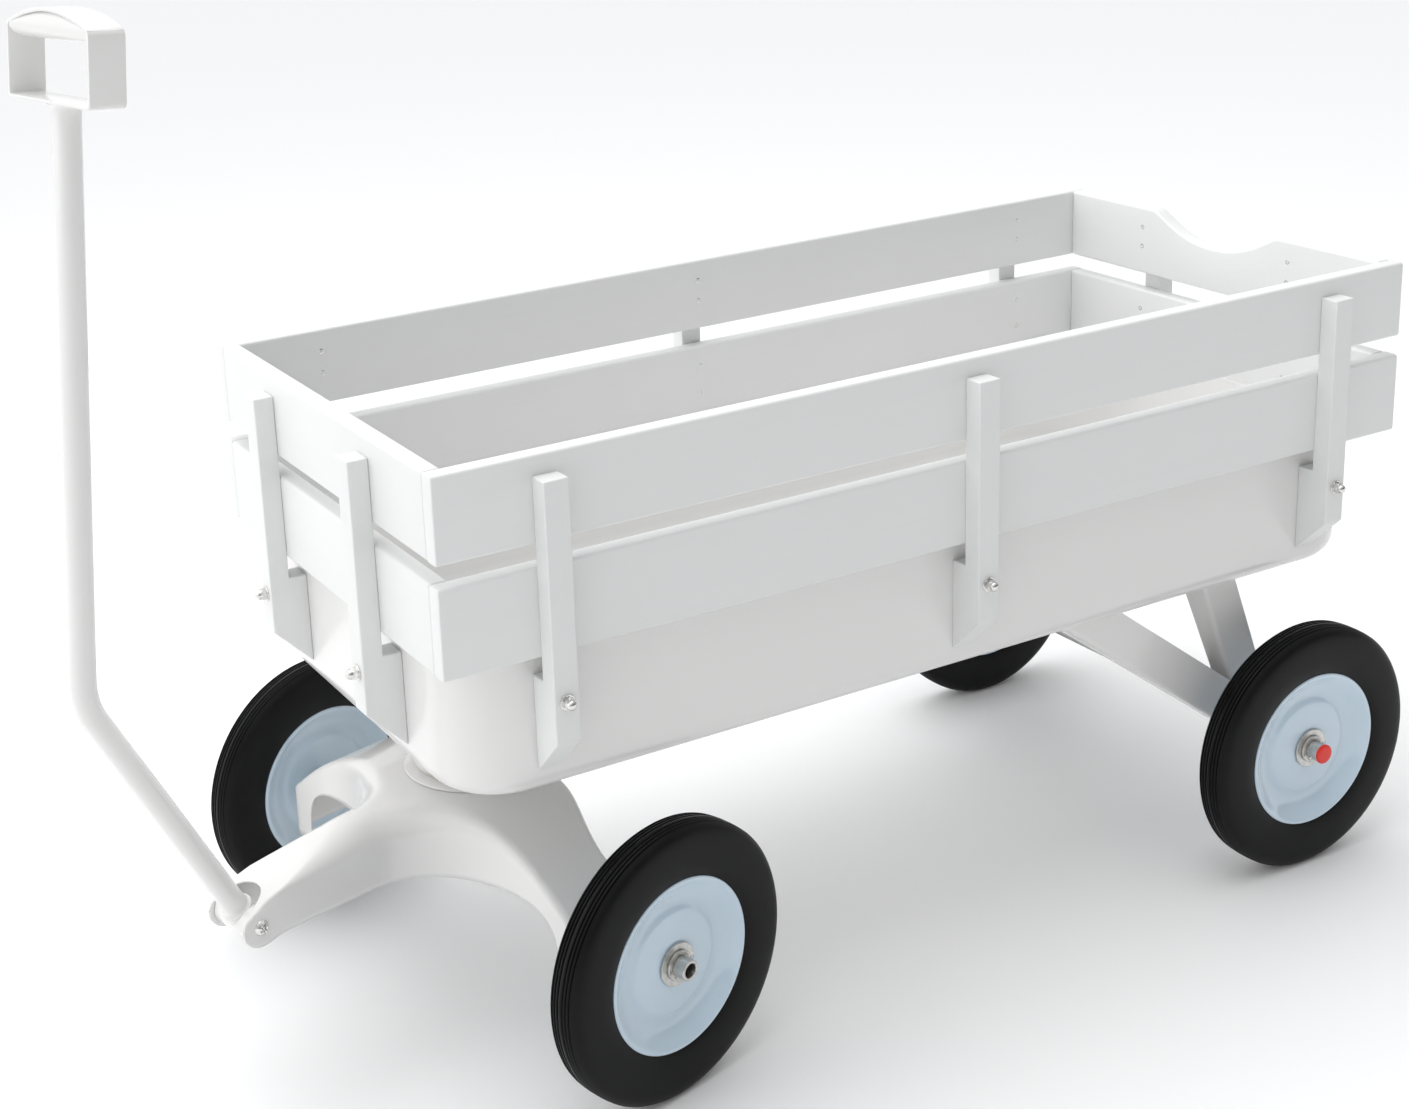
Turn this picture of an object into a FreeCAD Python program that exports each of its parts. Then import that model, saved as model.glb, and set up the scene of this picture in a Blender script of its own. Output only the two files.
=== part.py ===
import FreeCAD, Part
import math
import os
from FreeCAD import Matrix, Vector

# A stake-side pull wagon: a pressed steel tray with two tiers of wooden boards,
# a steered front axle under a pressed saddle, a bent tube handle and four solid-tyred wheels.
# Millimetres. +X is forwards (towards the handle), +Y is the wagon's left, +Z is up.
# The pieces are drawn about the middle of the tray with the ground at Z = 0, and moved
# together at the end, so that the origin is the bottom centre of the whole wagon.

# ---- driving dimensions ----------------------------------------------------------
BODY_LENGTH = 1048.0        # outside the end boards
BODY_WIDTH = 468.0          # outside the side boards
BOARD = 17.0                # board thickness
UPPER_Z = (528.0, 602.0)    # bottom and top of the upper boards
LOWER_Z = (431.0, 509.0)    # bottom and top of the lower boards
BOARD_ROUND = 3.0           # rounding along the boards' long edges
SCOOP_WIDTH = 176.0         # dip in the top of the rear upper board
SCOOP_DEPTH = 28.0

STAKE_WIDTH = 23.0
STAKE_DEPTH = 19.0
STAKE_TOP = 585.0
STAKE_SHOULDER = 411.0      # below this the stake reaches in to the tray wall
STAKE_OUTER_BOTTOM = 361.0
STAKE_PITCH = 426.0         # between the stakes along a side
END_STAKE_Y = 104.0         # the two stakes on each end stand this far off the middle
STAKE_BOLT_Z = 397.0

TRAY_BOTTOM = 300.0
TRAY_RIM = 437.0
TRAY_WALL = 1.4
TRAY_CORNER = 66.0
TRAY_FOOT = 24.0            # radius between the walls and the floor

WHEEL_RADIUS = 127.0
DISC_RADIUS = 80.0
HUB_HALF = 10.5
TRACK_HALF = 248.0          # wagon's middle to the middle of a wheel
REAR_AXLE_X = -405.0
AXLE_RADIUS = 9.5
AXLE_BORE = 6.5
RUNNING_FIT = 0.08          # radial clearance of each turning fit
END_PLAY = 0.4

KINGPIN_X = 395.0
STEER_AT_REST = 14.0        # degrees that the front axle is turned to the left
SADDLE_TOP = 230.0
SADDLE_WALL = 2.5
SADDLE_SPAN = 212.0         # half the saddle's width, across the axle
HINGE_X = 262.0             # hinge bolt ahead of the kingpin
HINGE_Z = 182.0
EAR_RADIUS = 18.0
EAR_OUTER = 27.0
BARREL_HALF = 24.1

HANDLE_RADIUS = 11.0
HANDLE_WALL = 2.0
HANDLE_LOWER = 62.5         # degrees above level of the lower length
HANDLE_UPPER = 95.5
HANDLE_KNEE = 274.0         # from the hinge to the corner of the bend
HANDLE_STEM = 472.0         # from that corner to the grip
HANDLE_BEND = 70.0
GRIP_WIDTH = 118.0
GRIP_DEPTH = 31.0
GRIP_HEIGHT = 57.0
GRIP_RISE = 13.0            # how far the top is arched
GRIP_BAND = 3.0
GRIP_BAR = 24.0             # thickness of the hand bar in its middle

Y_AXIS = Vector(0, 1, 0)
Z_AXIS = Vector(0, 0, 1)
ORIGIN = Vector(0, 0, 0)

nodes = {}


# ---- small helpers ---------------------------------------------------------------
def block(x, y, z):
    """A box from three (low, high) pairs."""
    return Part.makeBox(x[1] - x[0], y[1] - y[0], z[1] - z[0], Vector(x[0], y[0], z[0]))


def rod(radius, start, end, bore=0.0):
    """A round bar or tube between two points."""
    start = Vector(*start)
    run = Vector(*end) - start
    bar = Part.makeCylinder(radius, run.Length, start, run)
    if bore:
        bar = bar.cut(Part.makeCylinder(bore, run.Length, start, run))
    return bar


def sheet(points, normal):
    """Extrude a closed outline of points by a vector."""
    wire = Part.makePolygon([Vector(*p) for p in points] + [Vector(*points[0])])
    return Part.Face(wire).extrude(Vector(*normal))


def turned(profile, centre, axis):
    """Revolve a closed (radius, height) outline about a line."""
    points = [Vector(r, 0, h) for r, h in profile]
    solid = Part.Face(Part.makePolygon(points + points[:1])).revolve(ORIGIN, Z_AXIS, 360)
    solid.Placement = FreeCAD.Placement(Vector(*centre), FreeCAD.Rotation(Z_AXIS, Vector(*axis)))
    return solid


def hexagon(across, height, base, axis):
    """A hexagonal prism, size given across the flats."""
    corner = across / math.sqrt(3.0)
    points = [(corner * math.cos(math.radians(60 * k)), corner * math.sin(math.radians(60 * k)), 0)
              for k in range(6)]
    solid = sheet(points, (0, 0, height))
    solid.Placement = FreeCAD.Placement(Vector(*base), FreeCAD.Rotation(Z_AXIS, Vector(*axis)))
    return solid


def mirrored(shape):
    """The same piece on the other side of the wagon's middle plane."""
    flip = Matrix()
    flip.A22 = -1
    return shape.transformGeometry(flip)


def soften(shape, radius, keep):
    """Round the edges for which keep(edge) is true."""
    edges = [e for e in shape.Edges if keep(e)]
    return shape.makeFillet(radius, edges)


# ---- tray ------------------------------------------------------------------------
half_length = BODY_LENGTH / 2
half_width = BODY_WIDTH / 2
tray_half = (half_length - BOARD, half_width - BOARD)


def pan(inset, floor, top):
    """A block with rounded upright corners and a rounded foot."""
    hx = tray_half[0] - inset
    hy = tray_half[1] - inset
    body = block((-hx, hx), (-hy, hy), (floor, top))
    body = soften(body, TRAY_CORNER - inset,
                  lambda e: abs(e.Vertexes[0].Z - e.Vertexes[-1].Z) > 1.0)
    return soften(body, TRAY_FOOT - inset, lambda e: e.BoundBox.ZMax < floor + 0.01)


nodes["tray"] = pan(0, TRAY_BOTTOM, TRAY_RIM).cut(pan(TRAY_WALL, TRAY_BOTTOM + TRAY_WALL, TRAY_RIM + 50))


# ---- boards ----------------------------------------------------------------------
def plank(x, y, z):
    """A board with its four long edges rounded."""
    length = max(x[1] - x[0], y[1] - y[0])
    return soften(block(x, y, z), BOARD_ROUND, lambda e: abs(e.Length - length) < 0.01)


def scooped(board, x):
    """Cut the shallow dip out of the top of the rear board, with eased shoulders."""
    top = UPPER_Z[1]
    half = SCOOP_WIDTH / 2
    ease = half * 0.35
    dip = Part.BSplineCurve()
    dip.interpolate([Vector(x[0] - 1, y, top - drop) for y, drop in (
        (-half, 0.0), (-half + ease, SCOOP_DEPTH * 0.55), (0.0, SCOOP_DEPTH),
        (half - ease, SCOOP_DEPTH * 0.55), (half, 0.0))])
    rise = Part.makePolygon([Vector(x[0] - 1, half, top), Vector(x[0] - 1, half, top + 5),
                             Vector(x[0] - 1, -half, top + 5), Vector(x[0] - 1, -half, top)])
    cutter = Part.Face(Part.Wire([dip.toShape()] + rise.Edges)).extrude(Vector(BOARD + 2, 0, 0))
    return board.cut(cutter)


side_y = (half_width - BOARD, half_width)
end_x = (half_length - BOARD, half_length)
for tier, z in (("upper", UPPER_Z), ("lower", LOWER_Z)):
    left = plank((-half_length, half_length), side_y, z)
    nodes[f"left_{tier}_board"] = left
    nodes[f"right_{tier}_board"] = mirrored(left)
    front = plank(end_x, (-side_y[0], side_y[0]), z)
    nodes[f"front_{tier}_board"] = front
    rear = front.copy()
    rear.rotate(ORIGIN, Z_AXIS, 180)
    nodes[f"rear_{tier}_board"] = rear
nodes["rear_upper_board"] = scooped(nodes["rear_upper_board"], (-end_x[1], -end_x[0]))


# ---- stakes, their bolts and the board screws --------------------------------------
# A stake is drawn standing at the origin with its outside towards +Y and its inside
# face on Y = 0 where it meets the tray, then turned and moved to its place.
def stake():
    inner_bottom = STAKE_OUTER_BOTTOM - STAKE_DEPTH - BOARD
    outline = [(BOARD, STAKE_TOP), (BOARD, STAKE_SHOULDER), (0, STAKE_SHOULDER),
               (0, inner_bottom), (BOARD + STAKE_DEPTH, STAKE_OUTER_BOTTOM),
               (BOARD + STAKE_DEPTH, STAKE_TOP)]
    points = [(-STAKE_WIDTH / 2, y, z) for y, z in outline]
    return sheet(points, (STAKE_WIDTH, 0, 0))


BOLT_RADIUS = 3.0
WASHER_RADIUS = 7.0
WASHER_THICK = 1.4
NUT_ACROSS = 10.0           # across the flats
NUT_HEIGHT = 4.5
out = BOARD + STAKE_DEPTH
bolt_end = out + WASHER_THICK + NUT_HEIGHT + 1.1
inside = (0, -TRAY_WALL, STAKE_BOLT_Z)
outside = (0, out, STAKE_BOLT_Z)
bolt_tip = (0, bolt_end, STAKE_BOLT_Z)
nut_face = (0, out + WASHER_THICK, STAKE_BOLT_Z)
dome_face = (0, out + WASHER_THICK + NUT_HEIGHT, STAKE_BOLT_Z)
bolt_head = turned([(0, 0), (8, 0), (6, 2.4), (0, 3.2)], inside, (0, -1, 0))
bolt = rod(BOLT_RADIUS, inside, bolt_tip).fuse(bolt_head)
washer = rod(WASHER_RADIUS, outside, nut_face, BOLT_RADIUS)
dome = turned([(0, 0), (4.6, 0), (4.2, 2.4), (2.6, 4.2), (0, 5.0)], dome_face, (0, 1, 0))
cap_nut = hexagon(NUT_ACROSS, NUT_HEIGHT, nut_face, (0, 1, 0)).fuse(dome)
cap_nut = cap_nut.cut(rod(BOLT_RADIUS, outside, bolt_tip))

SCREW_ROWS = (456.5, 487.5, 558.5, 589.5)
SCREW_SIDE = 5.0
SCREW_LENGTH = 30.0
SCREW_SHANK = 1.8
SCREW_HEAD = (3.2, 2.2)     # radius and depth of the countersunk head
screw_head = turned([(0, 0), (SCREW_HEAD[0], 0), (SCREW_SHANK, SCREW_HEAD[1]), (0, SCREW_HEAD[1])],
                    (0, -0.2, 0), (0, 1, 0))
one_screw = rod(SCREW_SHANK, (0, SCREW_HEAD[1] - 0.2, 0), (0, SCREW_LENGTH, 0)).fuse(screw_head)
screws = []
for row in SCREW_ROWS:
    screw = one_screw.copy()
    screw.translate(Vector(0, 0, min(row, STAKE_TOP - SCREW_SIDE)))
    screws.append(screw)
screw_set = Part.makeCompound(screws)
stake_pieces = {"stake_bolts": bolt, "stake_washers": washer, "stake_cap_nuts": cap_nut,
                "board_screws": screw_set}

places = []
for name, x in (("front", STAKE_PITCH), ("middle", 0.0), ("rear", -STAKE_PITCH)):
    places.append((f"left_stake_{name}", (x, tray_half[1]), 0))
    places.append((f"right_stake_{name}", (x, -tray_half[1]), 180))
for name, y in (("left", END_STAKE_Y), ("right", -END_STAKE_Y)):
    places.append((f"front_stake_{name}", (tray_half[0], y), -90))
    places.append((f"rear_stake_{name}", (-tray_half[0], y), 90))

groups = {name: [] for name in stake_pieces}
for name, (x, y), angle in places:
    placement = FreeCAD.Placement(Vector(x, y, 0), FreeCAD.Rotation(Z_AXIS, angle))

    def placed(shape):
        copy = shape.copy()
        copy.Placement = placement.multiply(copy.Placement)
        return copy

    nodes[name] = placed(stake().cut([bolt, screw_set]))
    for group, piece in stake_pieces.items():
        groups[group].append(placed(piece))
for group, shapes in groups.items():
    nodes[group] = Part.makeCompound(shapes)
for name in list(nodes):
    if name.endswith("_board"):
        nodes[name] = nodes[name].cut(groups["board_screws"])
nodes["tray"] = nodes["tray"].cut(groups["stake_bolts"])

# ---- rear axle and its channel legs -------------------------------------------------
LEG_SHEET = 2.0
PLATE_SHEET = 3.0           # foot plate that closes each leg under the tray
LEG_Y = 193.0               # outside face of the legs
LEG_DEPTH = 42.0            # front face to open back
LEG_FOOT = 30.0             # width of the channel at the axle
UPRIGHT_TOP_X = REAR_AXLE_X + 66.0
UPRIGHT_TOP_WIDTH = 40.0
STRUT_TOP_X = REAR_AXLE_X + 232.0
STRUT_TOP_WIDTH = 62.0
REACH = 10.0                # the legs run this far past the axle's middle
OVERRUN = 60.0              # and are drawn this far past the tray before they are trimmed
HEAD_GROWTH = 1.15
AXLE_END = TRACK_HALF + 27.0
PLATE_REACH = (36.0, 24.0)  # half the foot plates' length, diagonal legs then upright legs


def tapered(foot, head, normal, half_depth, widths, side, trim):
    """A straight leg whose width grows from foot to head, trimmed by a sheet thickness."""
    wires = []
    for point, width in ((foot, widths[0]), (head, widths[1])):
        corners = []
        for depth, y in ((half_depth - trim, side - trim), (-half_depth - 5 * trim, side - trim),
                         (-half_depth - 5 * trim, side - width + trim),
                         (half_depth - trim, side - width + trim)):
            offset = normal * depth
            corners.append(Vector(point.x + offset.x, y, point.z + offset.z))
        wires.append(Part.makePolygon(corners + corners[:1]))
    return Part.makeLoft(wires, True, True)


def channel(top_x, top_width):
    """A leg from the axle to the tray: a channel with its closed face to the front."""
    axle = Vector(REAR_AXLE_X, 0, WHEEL_RADIUS)
    run = Vector(top_x, 0, TRAY_BOTTOM) - axle
    run.normalize()
    normal = Vector(run.z, 0, -run.x)
    foot = axle - run * REACH
    head = Vector(top_x, 0, TRAY_BOTTOM) + run * OVERRUN
    grown = (LEG_FOOT, top_width * HEAD_GROWTH)
    solid = tapered(foot, head, normal, LEG_DEPTH / 2, grown, LEG_Y, 0.0)
    hollow = tapered(foot - run * 5, head + run * 5, normal, LEG_DEPTH / 2, grown, LEG_Y, LEG_SHEET)
    below_tray = block((-600, 600), (0, 400), (0, TRAY_BOTTOM - PLATE_SHEET))
    return solid.common(below_tray), hollow


rear_axle = rod(AXLE_RADIUS, (REAR_AXLE_X, -AXLE_END, WHEEL_RADIUS), (REAR_AXLE_X, AXLE_END, WHEEL_RADIUS),
                AXLE_BORE)
axle_hole = rod(AXLE_RADIUS, (REAR_AXLE_X, 0, WHEEL_RADIUS), (REAR_AXLE_X, AXLE_END, WHEEL_RADIUS))
strut_solid, strut_hollow = channel(STRUT_TOP_X, STRUT_TOP_WIDTH)
upright_solid, upright_hollow = channel(UPRIGHT_TOP_X, UPRIGHT_TOP_WIDTH)
strut = strut_solid.cut([strut_hollow, axle_hole])
upright = upright_solid.cut([upright_hollow, strut_solid, axle_hole])


def largest(shape):
    """The biggest solid of a cut, without its offcuts."""
    return max(shape.Solids, key=lambda s: s.Volume)


nodes["rear_strut_left"] = largest(strut)
nodes["rear_strut_right"] = mirrored(nodes["rear_strut_left"])
nodes["rear_upright_left"] = largest(upright)
nodes["rear_upright_right"] = mirrored(nodes["rear_upright_left"])
nodes["rear_axle"] = rear_axle

# A flat foot plate closes each leg under the tray, and a bolt inside the channel holds it up.
plates = []
under_bolts = []
feet = ((STRUT_TOP_X, STRUT_TOP_WIDTH, PLATE_REACH[0]), (UPRIGHT_TOP_X, UPRIGHT_TOP_WIDTH, PLATE_REACH[1]))
for top_x, width, reach in feet:
    for side in (1, -1):
        y = side * (LEG_Y - width / 2)
        plates.append(block((top_x - reach, top_x + reach), (y - width / 2, y + width / 2),
                            (TRAY_BOTTOM - PLATE_SHEET, TRAY_BOTTOM)))
        under_bolts.append((top_x, y))

# ---- front turntable ------------------------------------------------------------------
PLATE_RADIUS = 64.0
PLATE_THICK = 3.0
BEARING_RADIUS = 52.0
BEARING_THICK = 5.6
MOUNT_TOP = 92.0            # rim of the mount, against the tray
MOUNT_BOLTS = 80.0          # radius of the ring of bolts
MOUNT_NECK = 71.0           # where the cone meets the rim
MOUNT_FOOT = 58.0
MOUNT_SHEET = 3.0
KINGPIN = 8.0
plate_top = SADDLE_TOP + PLATE_THICK
bearing_low = plate_top + 0.2
bearing_top = bearing_low + BEARING_THICK
mount_foot = bearing_top
for k in range(4):
    angle = math.radians(45 + 90 * k)
    under_bolts.append((KINGPIN_X + MOUNT_BOLTS * math.cos(angle), MOUNT_BOLTS * math.sin(angle)))

mount_outline = [(KINGPIN, mount_foot), (MOUNT_FOOT, mount_foot),
                 (MOUNT_NECK, TRAY_BOTTOM - MOUNT_SHEET), (MOUNT_TOP, TRAY_BOTTOM - MOUNT_SHEET),
                 (MOUNT_TOP, TRAY_BOTTOM), (MOUNT_NECK - MOUNT_SHEET, TRAY_BOTTOM),
                 (MOUNT_FOOT - MOUNT_SHEET, mount_foot + MOUNT_SHEET), (KINGPIN, mount_foot + MOUNT_SHEET)]
mount = turned(mount_outline, (KINGPIN_X, 0, 0), (0, 0, 1))
bearing = turned([(KINGPIN + 4, bearing_low), (BEARING_RADIUS, bearing_low),
                  (BEARING_RADIUS, bearing_top), (KINGPIN + 4, bearing_top)], (KINGPIN_X, 0, 0), (0, 0, 1))
KINGPIN_LENGTH = 40.0       # below the saddle's top
KINGPIN_HEX = (24.0, 11.0)  # across the flats and height of its nut; the head is lower
KINGPIN_HEAD = 8.0
KINGPIN_WASHER = (16.0, 2.5)
SLEEVE_LENGTH = 25.0
pin_foot = (KINGPIN_X, 0, SADDLE_TOP - KINGPIN_LENGTH)
pin_shoulder = (KINGPIN_X, 0, mount_foot + MOUNT_SHEET)
pin_head = hexagon(KINGPIN_HEX[0], KINGPIN_HEAD, pin_shoulder, (0, 0, 1))
kingpin = rod(KINGPIN, pin_foot, pin_shoulder).fuse(pin_head)
sleeve_low = SADDLE_TOP - SLEEVE_LENGTH
washer_top = (KINGPIN_X, 0, sleeve_low - 0.3)
washer_low = (KINGPIN_X, 0, washer_top[2] - KINGPIN_WASHER[1])
nut_low = (KINGPIN_X, 0, washer_low[2] - KINGPIN_HEX[1])
kingpin_nut = hexagon(KINGPIN_HEX[0], KINGPIN_HEX[1], nut_low, (0, 0, 1)).fuse(
    rod(KINGPIN_WASHER[0], washer_low, washer_top))
kingpin_nut = kingpin_nut.cut(kingpin)
nodes["turntable_bearing"] = bearing
nodes["kingpin"] = kingpin
nodes["kingpin_nut"] = kingpin_nut

small_bolts = []
for x, y in under_bolts:
    nut_low = TRAY_BOTTOM - PLATE_SHEET - NUT_HEIGHT
    shank = rod(BOLT_RADIUS, (x, y, nut_low), (x, y, TRAY_BOTTOM + TRAY_WALL))
    head = turned([(0, 0), (7.5, 0), (5.5, 2.2), (0, 3.0)], (x, y, TRAY_BOTTOM + TRAY_WALL), (0, 0, 1))
    nut = hexagon(NUT_ACROSS, NUT_HEIGHT, (x, y, nut_low), (0, 0, 1))
    small_bolts.append(shank.fuse([head, nut]))
nodes["under_bolts"] = Part.makeCompound(small_bolts)
nodes["leg_plates"] = Part.makeCompound([p.cut(small_bolts) for p in plates])
nodes["turntable_mount"] = mount.cut(small_bolts)
nodes["tray"] = nodes["tray"].cut(small_bolts)

# ---- saddle (front fork) ---------------------------------------------------------------
# From here to the handle, pieces are drawn with the kingpin at X = 0 and the axle square,
# and are turned to the steering angle when they are stored.
ARM_FRONT = 64.0            # front of the arms, where the fillets from the tongue end
FILLET_END = 150.0          # the fillets start this far forward and end this far across
FILLET_POWER = 2.35         # a little squarer than a quarter ellipse
REAR_LINE = ((-39.0, 74.0), (-30.0, 105.0), (-18.0, 131.0), (-13.0, 160.0))
TOP_HALF = 45.0             # the top is level this far across, then falls away along the arms
ARM_FALL = 0.0029
TONGUE_START = 155.0        # the tongue slopes down ahead of this
TONGUE_FALL = 0.25
TONGUE_END = 246.0          # the ears start here
LEG_BOTTOM = 106.0
LEG_INNER = 178.0           # inner side of the legs beside the wheels
SKIRT = 168.0               # lower edge of the arch and of the tongue
CURVE_POINTS = 8


def saddle_block(inset, low):
    """The saddle's bulk as the overlap of its plan, front view and side view, down to a level."""
    half = EAR_OUTER - inset
    span = SADDLE_SPAN - inset
    top = SADDLE_TOP - inset
    nose = HINGE_X + EAR_RADIUS
    left = [(nose, half)]
    for k in range(CURVE_POINTS + 1):
        angle = math.radians(90 * k / CURVE_POINTS)
        ahead = (FILLET_END - ARM_FRONT + inset) * abs(math.sin(angle)) ** (2 / FILLET_POWER)
        across = (FILLET_END - half) * abs(math.cos(angle)) ** (2 / FILLET_POWER)
        left.append((FILLET_END - ahead, FILLET_END - across))
    left.append((ARM_FRONT - inset, span))
    left.append((REAR_LINE[-1][0] + inset, span))
    left += [(x + inset, y) for x, y in reversed(REAR_LINE)]
    plan = [(x, y, low) for x, y in left] + [(x, -y, low) for x, y in reversed(left)]
    slope = [(span, low)]
    for k in range(CURVE_POINTS + 1):
        y = span + (TOP_HALF - span) * k / CURVE_POINTS
        slope.append((y, top - ARM_FALL * (y - TOP_HALF) ** 2))
    view = [(-100, y, z) for y, z in slope] + [(-100, -y, z) for y, z in reversed(slope)]
    side = [(-100, -400, low), (-100, -400, top), (TONGUE_START, -400, top),
            (TONGUE_END, -400, top - TONGUE_FALL * (TONGUE_END - TONGUE_START)),
            (HINGE_X, -400, HINGE_Z + EAR_RADIUS - inset), (nose, -400, HINGE_Z + EAR_RADIUS - inset),
            (nose, -400, low)]
    solid = sheet(plan, (0, 0, 400)).common(sheet(view, (500, 0, 0)))
    return solid.common(sheet(side, (0, 800, 0)))


outer = saddle_block(0.0, LEG_BOTTOM)
inner = saddle_block(SADDLE_WALL, 0.0)
NOTCH_RADIUS = 20.0
gap = EAR_OUTER - SADDLE_WALL
nose = HINGE_X + EAR_RADIUS

# The arch between the legs, the open underside of the tongue, the round ears, the notch
# that lets the handle stand up, and the holes.
arch_side = [(LEG_INNER, 0), (LEG_INNER, SKIRT - 28), (LEG_INNER - 3, SKIRT - 17),
             (LEG_INNER - 19, SKIRT - 7), (LEG_INNER - 43, SKIRT)]
arch = sheet([(-200, -y, z) for y, z in arch_side] + [(-200, y, z) for y, z in reversed(arch_side)],
             (500, 0, 0))
ear_low = HINGE_Z - EAR_RADIUS
under_tongue = sheet([(ARM_FRONT + 2, -400, 0), (ARM_FRONT + 2, -400, SKIRT), (HINGE_X - 24, -400, SKIRT),
                      (HINGE_X, -400, ear_low), (nose + 1, -400, ear_low), (nose + 1, -400, 0)], (0, 800, 0))
ear_rounding = block((HINGE_X, nose + 1), (-100, 100), (100, 300)).cut(
    rod(EAR_RADIUS, (HINGE_X, -100, HINGE_Z), (HINGE_X, 100, HINGE_Z)))
notch = block((HINGE_X + 8, 400), (-gap, gap), (0, 400)).fuse(
    Part.makeCylinder(NOTCH_RADIUS, 400, Vector(HINGE_X + 4, 0, 0)))
cross = rod(AXLE_RADIUS, (0, -300, WHEEL_RADIUS), (0, 300, WHEEL_RADIUS))
HINGE_PIN = 4.0
pin_hole = rod(HINGE_PIN, (HINGE_X, -60, HINGE_Z), (HINGE_X, 60, HINGE_Z))
pin_clear = Part.makeCylinder(KINGPIN + RUNNING_FIT, 100, Vector(0, 0, SADDLE_TOP - 50))
saddle = largest(outer.cut([inner, arch, under_tongue, ear_rounding, notch, cross, pin_hole, pin_clear]))
steered = {"saddle": saddle}

steered["turntable_plate"] = rod(PLATE_RADIUS, (0, 0, SADDLE_TOP), (0, 0, plate_top), KINGPIN + RUNNING_FIT)
SLEEVE_RADIUS = 15.0
steered["kingpin_sleeve"] = rod(SLEEVE_RADIUS, (0, 0, sleeve_low), (0, 0, SADDLE_TOP - SADDLE_WALL),
                                KINGPIN + RUNNING_FIT)
steered["front_axle"] = rod(AXLE_RADIUS, (0, -AXLE_END, WHEEL_RADIUS), (0, AXLE_END, WHEEL_RADIUS), AXLE_BORE)

# ---- hinge and handle --------------------------------------------------------------------
HINGE_NUT = (13.0, 6.0)     # across the flats and height
ear_left = (HINGE_X, EAR_OUTER, HINGE_Z)
ear_right = (HINGE_X, -EAR_OUTER, HINGE_Z)
pin_ends = rod(HINGE_PIN, (HINGE_X, -EAR_OUTER - HINGE_NUT[1] + 1, HINGE_Z), ear_left)
pin_head = turned([(0, 0), (7, 0), (6.2, 2.6), (3.4, 4.2), (0, 4.4)], ear_left, (0, 1, 0))
steered["hinge_bolt"] = pin_ends.fuse(pin_head)
hinge_nut = hexagon(HINGE_NUT[0], HINGE_NUT[1], ear_right, (0, -1, 0))
steered["hinge_nut"] = hinge_nut.cut(pin_ends)

pivot = Vector(HINGE_X, 0, HINGE_Z)
lower_dir = Vector(math.cos(math.radians(HANDLE_LOWER)), 0, math.sin(math.radians(HANDLE_LOWER)))
upper_dir = Vector(math.cos(math.radians(HANDLE_UPPER)), 0, math.sin(math.radians(HANDLE_UPPER)))
knee = pivot + lower_dir * HANDLE_KNEE
grip_foot = knee + upper_dir * HANDLE_STEM
half_turn = math.radians(HANDLE_UPPER - HANDLE_LOWER) / 2
setback = HANDLE_BEND * math.tan(half_turn)
bend_start = knee - lower_dir * setback
bend_centre = bend_start + Vector(-lower_dir.z, 0, lower_dir.x) * HANDLE_BEND


def bent_bar(radius):
    """The handle's round bar: two straights joined by a bend."""
    low = Part.makeCylinder(radius, HANDLE_KNEE - setback, pivot, lower_dir)
    high = Part.makeCylinder(radius, HANDLE_STEM - setback, knee + upper_dir * setback, upper_dir)
    ring = Part.Face(Part.Wire(Part.makeCircle(radius, bend_start, lower_dir)))
    elbow = ring.revolve(bend_centre, Vector(0, -1, 0), math.degrees(2 * half_turn))
    return low.fuse([elbow, high])


BARREL_RADIUS = 14.0
barrel_body = rod(BARREL_RADIUS, (HINGE_X, -BARREL_HALF, HINGE_Z), (HINGE_X, BARREL_HALF, HINGE_Z))
barrel = barrel_body.cut(rod(HINGE_PIN + RUNNING_FIT, (HINGE_X, -40, HINGE_Z), (HINGE_X, 40, HINGE_Z)))
steered["handle_barrel"] = barrel
steered["handle_tube"] = bent_bar(HANDLE_RADIUS).cut([bent_bar(HANDLE_RADIUS - HANDLE_WALL), barrel_body])


def arch_face(half, foot, shoulder, rise):
    """A flat outline with a straight foot and sides and an arched top, in the YZ plane."""
    a, b = Vector(0, -half, foot), Vector(0, half, foot)
    c, d = Vector(0, half, shoulder), Vector(0, -half, shoulder)
    top = Part.Arc(c, Vector(0, 0, shoulder + rise), d).toShape()
    lines = [Part.makeLine(a, b), Part.makeLine(b, c), top, Part.makeLine(d, a)]
    return Part.Face(Part.Wire(lines))


half_grip = GRIP_WIDTH / 2
loop = arch_face(half_grip, 0, GRIP_HEIGHT, GRIP_RISE).extrude(Vector(GRIP_DEPTH, 0, 0))
hollow = arch_face(half_grip - GRIP_BAND, GRIP_BAND, GRIP_HEIGHT - GRIP_BAND, GRIP_RISE).extrude(
    Vector(GRIP_DEPTH, 0, 0))
bar_low = GRIP_HEIGHT + GRIP_RISE - GRIP_BAR
belly = Part.Arc(Vector(0, 0, GRIP_HEIGHT), Vector(GRIP_DEPTH / 2, 0, bar_low),
                 Vector(GRIP_DEPTH, 0, GRIP_HEIGHT)).toShape()
cap = Part.makePolygon([Vector(GRIP_DEPTH, 0, GRIP_HEIGHT), Vector(GRIP_DEPTH, 0, 90), Vector(0, 0, 90),
                        Vector(0, 0, GRIP_HEIGHT)])
hand_bar = Part.Face(Part.Wire([belly] + cap.Edges)).extrude(Vector(0, GRIP_WIDTH, 0))
hand_bar.translate(Vector(0, -half_grip, 0))
grip = loop.cut(hollow).fuse(loop.common(hand_bar)).removeSplitter()
grip.translate(Vector(-GRIP_DEPTH / 2, 0, 0))
grip.rotate(ORIGIN, Y_AXIS, 90 - HANDLE_UPPER)
grip.translate(grip_foot)
steered["grip"] = grip

# ---- wheels --------------------------------------------------------------------------------
DISC_SHEET = 2.2
GROOVE = 2.0


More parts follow.
